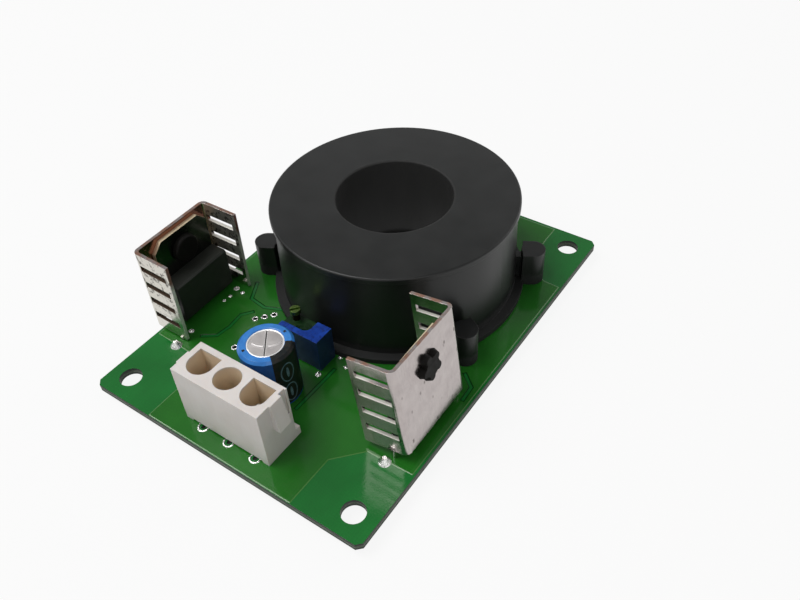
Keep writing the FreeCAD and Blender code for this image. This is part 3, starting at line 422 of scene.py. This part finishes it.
def tab_metal():
    """Nickelled copper tab with dull, brassy sheared rims. Its faces are painted near black, as a
    painted reflection of dark surroundings.
    """
    g = Graph("tab_metal")
    shade = g.noise(1.4, 3)
    face = g.span(g.calc("ABSOLUTE", g.axis("X", "Normal")), 0.8, 0.93)
    rim = g.blend(shade, (0.62, 0.53, 0.36), (0.80, 0.71, 0.52))
    # Painted reflection: the tab's faces are near black.
    flat = g.blend(shade, (0.06, 0.065, 0.055), (0.11, 0.115, 0.10))
    shine = g.blend(face, (0.55, 0.55, 0.55), (0.24, 0.24, 0.24))
    return g.finish(g.blend(face, rim, flat), shine, 1.0, g.noise(0.2), 0.006, 0.06)


def rivet_plastic():
    g = Graph("rivet_plastic")
    shade = g.noise(0.9, 3)
    base = g.blend(shade, (0.0025, 0.0023, 0.002), (0.007, 0.006, 0.005))
    # Painted highlight: lighter edges.
    base = g.blend(g.times(g.edges(0.12), 0.25), base, (0.022, 0.020, 0.018))
    return g.finish(base, g.span(shade, 0.3, 0.7, 0.5, 0.65), 0.0, shade, 0.02, 0.12,
                    Specular_IOR_Level=0.12)


CONNECTOR_LOW, CONNECTOR_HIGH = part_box("connector_pins")
CAVITY_CENTRE = (CONNECTOR_LOW + CONNECTOR_HIGH) / 2
CAVITY_PITCH = 6.35
# Half of one cavity, half of the row and the rim's height, each as a start and an end
CAVITY_HALF = (2.9, 2.7)
CAVITY_ROW = (1.47 * CAVITY_PITCH, 1.45 * CAVITY_PITCH)
CAVITY_RIM = (15.05, 14.5)
NYLON_GLOW_DEPTH = 0.9
NYLON_GLOW_TONE = (1.0, 0.72, 0.5)


def cream_nylon():
    """Unfilled nylon: warm and a little translucent, with edges painted pale as a highlight and the
    cavities painted browner, as light bounced inside them.
    """
    g = Graph("cream_nylon")
    cloud = g.noise(5, 3)
    drag = g.noise(0.7, 3, stretch=(1, 1, 0.12))
    base = g.blend(g.span(cloud, 0.3, 0.7), (0.62, 0.58, 0.555), (0.68, 0.645, 0.625))
    base = g.blend(g.times(drag, 0.14), base, (0.55, 0.49, 0.44))
    # Painted highlight: pale edges.
    base = g.blend(g.times(g.edges(0.16), 0.6), base, (0.84, 0.83, 0.80))
    across = g.calc("ABSOLUTE", g.calc("SUBTRACT", g.axis("X"), CAVITY_CENTRE.x))
    nearest = g.calc("PINGPONG", across, CAVITY_PITCH * MM / 2)
    back = g.calc("ABSOLUTE", g.calc("SUBTRACT", g.axis("Y"), CAVITY_CENTRE.y))
    # Painted light: the cavities' walls turn browner, standing for light bounced inside them.
    cavity_bounce = g.fade(g.calc("MAXIMUM", nearest, back), *CAVITY_HALF)
    cavity_bounce = g.times(cavity_bounce, g.fade(across, *CAVITY_ROW))
    cavity_bounce = g.times(cavity_bounce, g.fade(g.axis("Z"), *CAVITY_RIM))
    base = g.blend(g.times(cavity_bounce, 0.85), base, (0.74, 0.59, 0.40))
    shine = g.span(drag, 0.3, 0.7, 0.36, 0.5)
    made = g.finish(base, shine, 0.0, drag, 0.01, 0.14,
                    Subsurface_Weight=0.2, Specular_IOR_Level=0.4)
    g.shader.inputs["Subsurface Radius"].default_value = NYLON_GLOW_TONE
    g.shader.inputs["Subsurface Scale"].default_value = NYLON_GLOW_DEPTH * MM
    return made


CAN_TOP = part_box("capacitor_can")[1].z / MM
CAN_SCORE = (CAN_TOP - 0.06, CAN_TOP - 0.2)  # height, start and end
CAN_TONES = ((0.46, 0.435, 0.43), (0.55, 0.525, 0.515))
# The can rim's tones: a lighter copy of the can's, as a painted highlight.
CAN_RIM_HIGHLIGHT_TONES = ((0.84, 0.84, 0.83), (0.95, 0.95, 0.94))


def can_aluminium(name, dull, pale):
    """Drawn can end: straight rolling lines, a faint mottle, edges painted bright as a highlight,
    and a score painted dark as the shade in its groove.
    """
    g = Graph(name)
    rolled = g.noise(0.16, 3, stretch=(1, 0.08, 1))
    patch = g.noise(1.8, 3)
    colour = g.blend(g.span(patch, 0.3, 0.7), dull, pale)
    # Painted highlight: bright edges.
    colour = g.blend(g.times(g.edges(0.25), 0.85), colour, (0.96, 0.96, 0.95))
    # Painted shade: dark below the end's face, in the score's groove.
    colour = g.blend(g.fade(g.axis("Z"), *CAN_SCORE), colour, (0.13, 0.125, 0.12))
    shine = g.plus(g.span(patch, 0.3, 0.7, 0.42, 0.5), g.times(rolled, 0.12))
    return g.finish(colour, shine, 1.0, rolled, 0.008, 0.1)


def blue_sleeve():
    """Shrunk film over the can. Its upward lip is painted paler and its side darker, for how the
    light falls.
    """
    g = Graph("blue_sleeve")
    shade = g.noise(2.0, 3)
    crease = g.noise(0.9, 2, stretch=(1, 1, 0.3))
    side = g.blend(g.span(shade, 0.3, 0.7), (0.010, 0.070, 0.26), (0.020, 0.105, 0.36))
    lip = g.blend(g.span(shade, 0.3, 0.7), (0.028, 0.16, 0.48), (0.045, 0.23, 0.62))
    # Painted light and shade: the lip is paler than the side.
    colour = g.blend(g.span(g.axis("Z", "Normal"), 0.2, 0.75), side, lip)
    return g.finish(colour, g.span(crease, 0.3, 0.7, 0.16, 0.26), 0.0, crease, 0.03, 0.1,
                    Specular_IOR_Level=0.4)


def stripe_ink():
    g = Graph("stripe_ink")
    patch = g.noise(0.8, 3)
    colour = g.blend(g.span(patch, 0.42, 0.66), (0.006, 0.009, 0.010), (0.017, 0.014, 0.011))
    return g.finish(colour, g.span(patch, 0.3, 0.7, 0.3, 0.45), 0.0, patch, 0.015,
                    Specular_IOR_Level=0.25)


def mark_ink():
    g = Graph("mark_ink")
    patch = g.noise(0.5, 3)
    colour = g.blend(g.span(patch, 0.3, 0.7), (0.05, 0.10, 0.13), (0.15, 0.23, 0.28))
    return g.finish(colour, 0.3, 0.0, patch, 0.01)


def bung_rubber():
    g = Graph("bung_rubber")
    shade = g.noise(0.6, 3)
    colour = g.blend(shade, (0.016, 0.016, 0.016), (0.035, 0.034, 0.033))
    return g.finish(colour, 0.75, 0.0, shade, 0.03)


def trimmer_blue():
    """Deep blue moulding with a blotched top. Its upper faces are painted brighter and its sides
    darker, for how the light falls, and its corners are painted pale as a highlight.
    """
    g = Graph("trimmer_blue")
    shade = g.noise(1.3, 3)
    grain = g.noise(0.18, 2)
    side = g.blend(g.span(shade, 0.3, 0.7), (0.008, 0.021, 0.056), (0.013, 0.033, 0.085))
    top = g.blend(g.span(shade, 0.3, 0.7), (0.003, 0.026, 0.20), (0.007, 0.055, 0.36))
    blotch = g.span(g.noise(0.8, 3), 0.54, 0.62)
    top = g.blend(g.times(blotch, 0.6), top, (0.003, 0.010, 0.075))
    # Painted light and shade: the top is brighter than the sides.
    colour = g.blend(g.span(g.axis("Z", "Normal"), 0.3, 0.8), side, top)
    # Painted highlight: pale corners.
    colour = g.blend(g.times(g.edges(0.16), 0.5), colour, (0.015, 0.055, 0.30))
    return g.finish(colour, g.span(grain, 0.3, 0.7, 0.3, 0.44), 0.0, grain, 0.012, 0.12,
                    Specular_IOR_Level=0.25)


def dark_sealant():
    """Potting that closes the trimmer: greenish black and softly uneven."""
    g = Graph("dark_sealant")
    pool = g.noise(1.4, 2)
    colour = g.blend(g.span(pool, 0.35, 0.65), (0.002, 0.013, 0.003), (0.007, 0.030, 0.007))
    return g.finish(colour, g.span(pool, 0.3, 0.7, 0.25, 0.45), 0.0, pool, 0.25,
                    Specular_IOR_Level=0.2)


SCREW_HEAD_HEIGHT = 0.9
SCREW_HEAD_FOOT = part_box("trimmer_screw")[1].z / MM - SCREW_HEAD_HEIGHT
SCREW_SHANK = (SCREW_HEAD_FOOT, SCREW_HEAD_FOOT - 0.1)  # height, start and end


def adjuster_brass():
    """Brass with a faint mottle: its head is painted olive as a reflection of the green board, and
    its shank dark brown as the shade below the head.
    """
    g = Graph("adjuster_brass")
    tarnish = g.noise(0.25, 3)
    # Painted reflection: the head's olive green.
    colour = g.blend(tarnish, (0.09, 0.17, 0.035), (0.26, 0.38, 0.11))
    # Painted shade: the shank is dark brown.
    colour = g.blend(g.fade(g.axis("Z"), *SCREW_SHANK), colour, (0.055, 0.035, 0.015))
    return g.finish(colour, g.span(tarnish, 0.3, 0.7, 0.24, 0.4), 1.0, tarnish, 0.01, 0.06)


def solder():
    """Frozen solder: bright and creased, with dark streaks and small dull patches."""
    g = Graph("solder")
    streak = g.noise(0.42, 3, 0.6)
    dull = g.noise(0.3, 3)
    colour = g.blend(dull, (0.80, 0.80, 0.78), (0.96, 0.96, 0.94))
    colour = g.blend(g.times(g.span(streak, 0.57, 0.66), 0.7), colour, (0.10, 0.10, 0.09))
    return g.finish(colour, g.span(dull, 0.35, 0.7, 0.08, 0.24), 1.0, streak, 0.22)


def dress_node(name, finish):
    node = frame["nodes"][name]
    if not node.material_slots:
        node.data.materials.append(None)
    for place in node.material_slots:
        place.material = finish


def dress(finishes):
    """Gives every CAD node the finish named by its material slot in the record."""
    for row in frame["record"]["subparts"]:
        dress_node(row["node"], finishes[row["material_slot"]])


# Pieces

WELD_WITHIN = 0.001 * MM


def add_piece(name, build, slot, *finishes, body=BODY):
    """A mesh made by build(bmesh), which rides on a body and wears the given finishes. Its slot is
    not used.
    """
    made = bmesh.new()
    build(made)
    mesh = bpy.data.meshes.new(name)
    made.to_mesh(mesh)
    made.free()
    for finish in finishes:
        mesh.materials.append(finish)
    piece = bpy.data.objects.new(name, mesh)
    bpy.context.scene.collection.objects.link(piece)
    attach(piece, body)


def circle(centre, radius, steps=28):
    turns = (math.tau * i / steps for i in range(steps))
    return [centre + Vector((math.cos(a), math.sin(a), 0)) * radius * MM for a in turns]


def ribbon(points, width):
    """The outline of a flat track of the given width along a line of points."""
    left, right = [], []
    for i, point in enumerate(points):
        ahead = (points[min(i + 1, len(points) - 1)] - point).normalized()
        behind = (point - points[max(i - 1, 0)]).normalized()
        along = (ahead + behind).normalized()
        mitre = max(along.dot(ahead), along.dot(behind))
        square = Vector((-along.y, along.x, 0)) / mitre
        left.append(point + square * width / 2 * MM)
        right.append(point - square * width / 2 * MM)
    return right + left[::-1]


def raised_patch(made, outline, holes, rise, slope):
    """A flat patch with sloped rims, as copper stands out below the lacquer. The rims of its
    holes take the piece's second finish."""
    edges = []
    hole_verts = set()
    for loop in (outline, *holes):
        verts = [made.verts.new(point) for point in loop]
        edges += [made.edges.new(pair) for pair in zip(verts, verts[1:] + verts[:1])]
        if loop is not outline:
            hole_verts.update(verts)
    filled = bmesh.ops.triangle_fill(made, use_beauty=True, edges=edges)["geom"]
    faces = [part for part in filled if isinstance(part, bmesh.types.BMFace)]
    for face in faces:
        face.normal_update()
        if face.normal.z < 0:
            face.normal_flip()
    rims = bmesh.ops.inset_region(made, faces=faces, thickness=slope * MM, depth=rise * MM,
                                  use_boundary=True, use_even_offset=True)["faces"]
    for face in rims:
        if hole_verts.intersection(face.verts):
            face.material_index = 1


def turned(made, profile, centre, start=0.0, end=360.0, steps=36):
    """A closed profile of (radius, height), swept about an upright axis. Turns are in degrees."""
    whole = end - start >= 360.0
    count = steps if whole else steps + 1
    rings = []
    for i in range(count):
        turn = math.radians(start + (end - start) * i / steps)
        points = (Vector((r * math.cos(turn), r * math.sin(turn), z)) * MM for r, z in profile)
        rings.append([made.verts.new(centre + point) for point in points])
    new = []
    for i in range(steps):
        near, far = rings[i], rings[(i + 1) % count]
        for j in range(len(profile)):
            k = (j + 1) % len(profile)
            new.append(made.faces.new((near[j], far[j], far[k], near[k])))
    if not whole:
        new += [made.faces.new(rings[0]), made.faces.new(rings[-1][::-1])]
    verts = [vert for ring in rings for vert in ring]
    bmesh.ops.remove_doubles(made, verts=verts, dist=WELD_WITHIN)
    bmesh.ops.recalc_face_normals(made, faces=[face for face in new if face.is_valid])


def section_at(radius, height, offsets):
    """A profile for turned, from offsets outward and up."""
    return [(radius + out, height + up) for out, up in offsets]


def low_ring(outer, inner, rise):
    """A flat ring's section with softened corners."""
    soft = min(0.12, (outer - inner) / 3)
    return [(inner, 0), (outer, 0), (outer - soft, rise * 0.8), (outer - 2 * soft, rise),
            (inner + soft, rise), (inner, rise * 0.6)]


def dome(radius, height, steps=6):
    """A bead's section, from its foot up to the axis."""
    angles = (math.pi / 2 * i / steps for i in range(steps + 1))
    return [(0, 0)] + [(radius * math.cos(a), height * math.sin(a)) for a in angles]


# Board

COPPER_RISE = 0.06
COPPER_SLOPE = 0.18
DRUM_OPENING = 13.4
DRUM_OPENING_STEPS = 72
# The copper's outer border right of the board's middle line, which the left half mirrors
RIGHT_HALF_OF_POUR = [
    (49.3, 0.12), (49.4, 10.5), (54.15, 15.6), (63.55, 15.9), (63.55, 71.5),
    (60.2, 71.6), (57.5, 72.6), (54.6, 76.2), (54.1, 84.0), (54.1, 88.4),
]
# Lines of bare laminate between areas of copper
MOATS = [
    [(37.25, 16.1), (37.34, 27.8)],
    [(8.5, 20.1), (11.2, 22.0), (11.7, 25.3), (11.3, 29.1), (13.0, 31.2)],
    [(7.5, 38.5), (9.9, 34.0), (14.0, 33.4), (19.5, 35.6)],
    [(59.2, 40.3), (62.0, 38.0), (62.2, 34.4)],
]
MOAT_WIDTH = 0.55
SPARE_HOLES = [(14.7, 29.8), (16.0, 31.3), (17.3, 32.8), (16.6, 21.5)]
SPARE_HOLE_RADIUS = 0.42
SPARE_PAD_RADIUS = 0.78
SPARE_PAD_RISE = 0.16
# Pads in front of the connector
FOOT_HOLES = [(25.55, 3.75), (31.9, 3.75), (38.25, 3.75)]
FOOT_HOLE_RADIUS = 0.8
FOOT_PAD_RADIUS = 1.22
FOOT_PAD_RISE = 0.18
# Small solder beads on the top side: place and radius
BEADS = [
    ((35.45, 25.03), 0.42), ((36.4, 30.75), 0.34), ((38.9, 29.3), 0.34),
    ((5.8, 20.1), 0.42), ((5.4, 32.1), 0.32), ((5.3, 30.4), 0.28),
    ((4.95, 34.6), 0.45), ((6.95, 34.3), 0.32), ((3.6, 37.4), 0.42),
]
BEAD_PAD = (1.7, 0.5)  # outer and inner radius, as shares of the bead's
BEAD_PAD_RISE = 1.7 * COPPER_RISE
BEAD_HEIGHT = 0.9      # as a share of its radius
BEAD_STEPS = 20
# A pin below each heat sink's front wing: place, lowest and highest point over the board
SINK_PINS = [((58.9, 17.3), 0.0, 1.9), ((6.0, 17.5), 0.0, 0.9)]
SINK_PIN_RADIUS = 0.28
SINK_PIN_STEPS = 8


def pour_outline():
    width = BOARD_SIZE.x / MM
    left = [(width - across, back) for across, back in reversed(RIGHT_HALF_OF_POUR)]
    return [on_board(*place) for place in RIGHT_HALF_OF_POUR + left]


def copper_pour(made):
    holes = [circle(Vector((0, 0, BOARD_TOP)), DRUM_OPENING, DRUM_OPENING_STEPS)]
    holes += [circle(on_board(*place), SPARE_HOLE_RADIUS) for place in SPARE_HOLES]
    holes += [circle(on_board(*place), FOOT_HOLE_RADIUS) for place in FOOT_HOLES]
    holes += [ribbon([on_board(*place) for place in line], MOAT_WIDTH) for line in MOATS]
    raised_patch(made, pour_outline(), holes, COPPER_RISE, COPPER_SLOPE)


def heat_sink_pins(made):
    """A short soldering pin below each heat sink's front wing."""
    for place, low, high in SINK_PINS:
        profile = [(0, low), (SINK_PIN_RADIUS, low), (SINK_PIN_RADIUS, high), (0, high)]
        turned(made, profile, on_board(*place), steps=SINK_PIN_STEPS)


def spare_pads(made):
    pad = low_ring(SPARE_PAD_RADIUS, SPARE_HOLE_RADIUS, SPARE_PAD_RISE)
    for place in SPARE_HOLES:
        turned(made, pad, on_board(*place))
    pad = low_ring(FOOT_PAD_RADIUS, FOOT_HOLE_RADIUS, FOOT_PAD_RISE)
    for place in FOOT_HOLES:
        turned(made, pad, on_board(*place))


def solder_beads(made):
    for place, radius in BEADS:
        pad = low_ring(radius * BEAD_PAD[0], radius * BEAD_PAD[1], BEAD_PAD_RISE)
        turned(made, pad, on_board(*place), steps=BEAD_STEPS)
        turned(made, dome(radius, radius * BEAD_HEIGHT), on_board(*place), steps=BEAD_STEPS)


# Capacitor

SLEEVE_LOW, SLEEVE_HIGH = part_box("capacitor_sleeve")
SLEEVE_TOP = SLEEVE_HIGH.z / MM
SLEEVE_RADIUS = (SLEEVE_HIGH.x - SLEEVE_LOW.x) / 2 / MM
SLEEVE_BEVEL = 0.5
CAPACITOR_AXIS = Vector(((SLEEVE_LOW.x + SLEEVE_HIGH.x) / 2, (SLEEVE_LOW.y + SLEEVE_HIGH.y) / 2, 0))
LIP_INNER = 3.45
LIP_SECTION = ((0, -0.22), (0.1, -0.06), (0.3, 0.01), (0.85, 0.01), (0.85, -0.22))
LIP_STEPS = 64
RIM_SECTION = ((-0.28, -0.05), (-0.2, 0.1), (-0.08, 0.14), (0.05, 0.1), (0.05, -0.05))

# The stripe and lip marks stand out by this much and reach as far into the film; the marks on the
# side stand out twice as far. Turns are in degrees.
INK = 0.03
STRIPE_TURNS = (-36.0, 38.0)
STRIPE_FOOT = 2.0
STRIPE_INNER = 3.6
STRIPE_STEPS = 24
MARK_TURN = -8.0
MARK_LEVELS = (10.0, 4.7)
MARK_OVALS = ((3.0, 4.7, 0.24), (0.6, 2.5, 0.28))  # width, height and line
LIP_MARK_TURNS = (74.0, -119.0)
LIP_MARK_HALF = 3.5
LIP_MARK_BAND = (3.95, 4.45)
LIP_MARK_STEPS = 4

DISC_RIB_CENTRE = CAPACITOR_AXIS + Vector((-1.79, 2.66, 0)) * MM
DISC_RIB_RADIUS = 4.03
DISC_RIB_TURNS = ((-93.0, -60.0), (-48.0, -12.0))
DISC_RIB_SECTION = ((-0.3, -0.02), (0.3, -0.02), (0.18, 0.14), (0, 0.2), (-0.18, 0.14))
DISC_RIB_STEPS = 12


def sleeve_lip(made):
    """The sleeve's shrunk edge, which grips the can's end a little further in."""
    turned(made, section_at(LIP_INNER, SLEEVE_TOP, LIP_SECTION), CAPACITOR_AXIS, steps=LIP_STEPS)


def can_rim(made):
    """The rim round the can's end, in a lighter copy of the can's finish: a painted highlight."""
    turned(made, section_at(LIP_INNER, CAN_TOP, RIM_SECTION), CAPACITOR_AXIS, steps=LIP_STEPS)


def disc_ribs(made):
    """Two low curved ribs pressed up in the can's end."""
    section = section_at(DISC_RIB_RADIUS, CAN_TOP, DISC_RIB_SECTION)
    for turns in DISC_RIB_TURNS:
        turned(made, section, DISC_RIB_CENTRE, *turns, DISC_RIB_STEPS)


def polarity_stripe(made):
    """A dark band up the sleeve's side and in over its lip."""
    outer, top = SLEEVE_RADIUS + INK, SLEEVE_TOP + INK
    inner, under = outer - 2 * INK, top - 2 * INK
    bend = SLEEVE_BEVEL
    section = [(outer, STRIPE_FOOT), (outer, top - bend), (outer - bend, top), (STRIPE_INNER, top),
               (STRIPE_INNER, under), (outer - bend - INK, under), (inner, top - bend - INK),
               (inner, STRIPE_FOOT)]
    turned(made, section, CAPACITOR_AXIS, *STRIPE_TURNS, STRIPE_STEPS)


def oval_band(made, level, across, tall, line, steps=36):
    """An upright oval line printed on the sleeve."""
    inner, outer = SLEEVE_RADIUS, SLEEVE_RADIUS + 2 * INK
    loops = []
    for radius, grow in ((inner, 0), (outer, 0), (outer, -line), (inner, -line)):
        loop = []
        for i in range(steps):
            angle = math.tau * i / steps
            turn = math.radians(MARK_TURN) + (across / 2 + grow) * math.cos(angle) / SLEEVE_RADIUS
            height = level + (tall / 2 + grow) * math.sin(angle)
            around = Vector((radius * math.cos(turn), radius * math.sin(turn), height))
            loop.append(made.verts.new(CAPACITOR_AXIS + around * MM))
        loops.append(loop)
    for loop, beside in zip(loops, loops[1:] + loops[:1]):
        for i in range(steps):
            k = (i + 1) % steps
            made.faces.new((loop[i], loop[k], beside[k], beside[i]))


def polarity_marks(made):
    """A bar in an oval, twice, one above the other."""
    for level in MARK_LEVELS:
        for oval in MARK_OVALS:
            oval_band(made, level, *oval)
    bmesh.ops.recalc_face_normals(made, faces=made.faces)


def lip_marks(made):
    """Two small dark marks on the lip."""
    inner, outer = LIP_MARK_BAND
    top, under = SLEEVE_TOP + INK, SLEEVE_TOP - INK
    section = [(inner, under), (outer, under), (outer, top), (inner, top)]
    for turn in LIP_MARK_TURNS:
        turned(made, section, CAPACITOR_AXIS, turn - LIP_MARK_HALF, turn + LIP_MARK_HALF,
               LIP_MARK_STEPS)


# Studio

FLOOR_SIDE = 3.0
FLOOR_TONES = ((0.56, 0.56, 0.555), (0.60, 0.60, 0.59))
SHADOW_SHARE = 0.10
SKY_LIGHT = 0.30
# What the sky gives to reflections, from near the horizon to overhead
SKY_GLOSS = (0.95, 0.36)
SKY_GLOSS_HEIGHTS = (0.05, 0.75)
LAMPS = [
    # name, place and side in metres, watts
    ("key", (-0.25, -0.20, 0.60), 0.40, 3.5),
    ("fill", (0.45, -0.35, 0.40), 0.35, 0.45),
    ("back", (0.15, 0.55, 0.45), 0.35, 0.7),
]


def seen_directly(g):
    """1 for rays that show the background: straight from the camera, or by gloss or glass."""
    path = g.add("ShaderNodeLightPath").outputs
    shown = g.calc("MAXIMUM", path["Is Camera Ray"], path["Is Glossy Ray"])
    return g.calc("MAXIMUM", shown, path["Is Transmission Ray"])


def floor_finish():
    """Plain and pale; where it is seen, mostly white, with a share left for the shadow."""
    g = Graph("floor")
    g.finish(g.blend(g.noise(90, 2), *FLOOR_TONES), 0.9)
    glow = g.add("ShaderNodeEmission", {"Color": (1, 1, 1), "Strength": 1.0})
    share = g.times(seen_directly(g), 1 - SHADOW_SHARE)
    mixed = g.add("ShaderNodeMixShader", {0: share, 1: g.shader.outputs[0], 2: glow.outputs[0]})
    g.feed(g.tree.nodes["Material Output"].inputs["Surface"], mixed.outputs[0])
    return g.owner


def make_floor():
    made = bmesh.new()
    bmesh.ops.create_grid(made, x_segments=4, y_segments=4, size=FLOOR_SIDE / 2)
    bmesh.ops.translate(made, verts=made.verts, vec=(0, 0, cad_low.z))
    mesh = bpy.data.meshes.new("floor")
    made.to_mesh(mesh)
    made.free()
    mesh.materials.append(floor_finish())
    floor = bpy.data.objects.new("floor", mesh)
    bpy.context.scene.collection.objects.link(floor)


def make_world():
    """White behind the object; a softer grey overhead for light and reflections."""
    world = bpy.data.worlds.new("studio")
    bpy.context.scene.world = world
    g = Graph("studio", world)
    path = g.add("ShaderNodeLightPath").outputs
    height = g.axis("Z", "Generated")
    gloss = g.span(height, *SKY_GLOSS_HEIGHTS, *SKY_GLOSS, smooth=True)
    mirrored = g.calc("MAXIMUM", path["Is Glossy Ray"], path["Is Transmission Ray"])
    level = g.add("ShaderNodeMix", {0: mirrored, 2: SKY_LIGHT, 3: gloss},
                  data_type="FLOAT").outputs[0]
    level = g.add("ShaderNodeMix", {0: path["Is Camera Ray"], 2: level, 3: 1.0},
                  data_type="FLOAT").outputs[0]
    background = g.tree.nodes["Background"]
    g.feed(background.inputs["Color"], (1, 1, 1))
    g.feed(background.inputs["Strength"], level)


def make_lamps():
    for name, place, side, watts in LAMPS:
        light = bpy.data.lights.new(name, "AREA")
        light.shape = "SQUARE"
        light.size = side
        light.energy = watts
        lamp = bpy.data.objects.new(name, light)
        lamp.location = place
        lamp.rotation_euler = (-Vector(place)).to_track_quat("-Z", "Y").to_euler()
        bpy.context.scene.collection.objects.link(lamp)


make_camera()
make_world()
make_lamps()
make_floor()

FINISHES = {
    "board_laminate": solder_mask("board_laminate", MASK_ON_LAMINATE),
    "black_moulding": black_moulding(),
    "plated_steel": plated_steel(),
    "core_steel": core_steel(),
    "enamelled_copper": enamelled_copper(),
    "black_epoxy": black_epoxy(),
    "cast_resin": cast_resin(),
    "tinned_sheet": tinned_sheet(),
    "tinned_legs": tinned_legs(),
    "tab_metal": tab_metal(),
    "rivet_plastic": rivet_plastic(),
    "cream_nylon": cream_nylon(),
    "can_aluminium": can_aluminium("can_aluminium", *CAN_TONES),
    "blue_sleeve": blue_sleeve(),
    "bung_rubber": bung_rubber(),
    "trimmer_blue": trimmer_blue(),
    "adjuster_brass": adjuster_brass(),
    "solder": solder(),
}
dress(FINISHES)
dress_node("trimmer_seal", dark_sealant())

MASK_OVER_COPPER = solder_mask("mask_over_copper", MASK_ON_COPPER, MASK_ON_RIM)
MASK_IN_GAPS = solder_mask("mask_in_gaps", MASK_ON_COPPER, MASK_IN_GAP, gleam=0.04)
# Painted highlight: the can rim takes a lighter copy of the can's finish.
RIM_HIGHLIGHT = can_aluminium("can_rim_painted_highlight", *CAN_RIM_HIGHLIGHT_TONES)
STRIPE_INK = stripe_ink()

add_piece("copper_pour", copper_pour, "board_laminate", MASK_OVER_COPPER, MASK_IN_GAPS)
add_piece("heat_sink_pins", heat_sink_pins, "tinned_sheet", FINISHES["tinned_legs"])
add_piece("sleeve_lip", sleeve_lip, "blue_sleeve", FINISHES["blue_sleeve"])
add_piece("can_rim", can_rim, "can_aluminium", RIM_HIGHLIGHT)
add_piece("spare_pads", spare_pads, "solder", FINISHES["solder"])
add_piece("solder_beads", solder_beads, "solder", FINISHES["solder"])
add_piece("polarity_stripe", polarity_stripe, "blue_sleeve", STRIPE_INK)
add_piece("polarity_marks", polarity_marks, "blue_sleeve", mark_ink())
add_piece("lip_marks", lip_marks, "blue_sleeve", STRIPE_INK)
add_piece("disc_ribs", disc_ribs, "can_aluminium", FINISHES["can_aluminium"])

bpy.context.scene.view_settings.view_transform = "Standard"
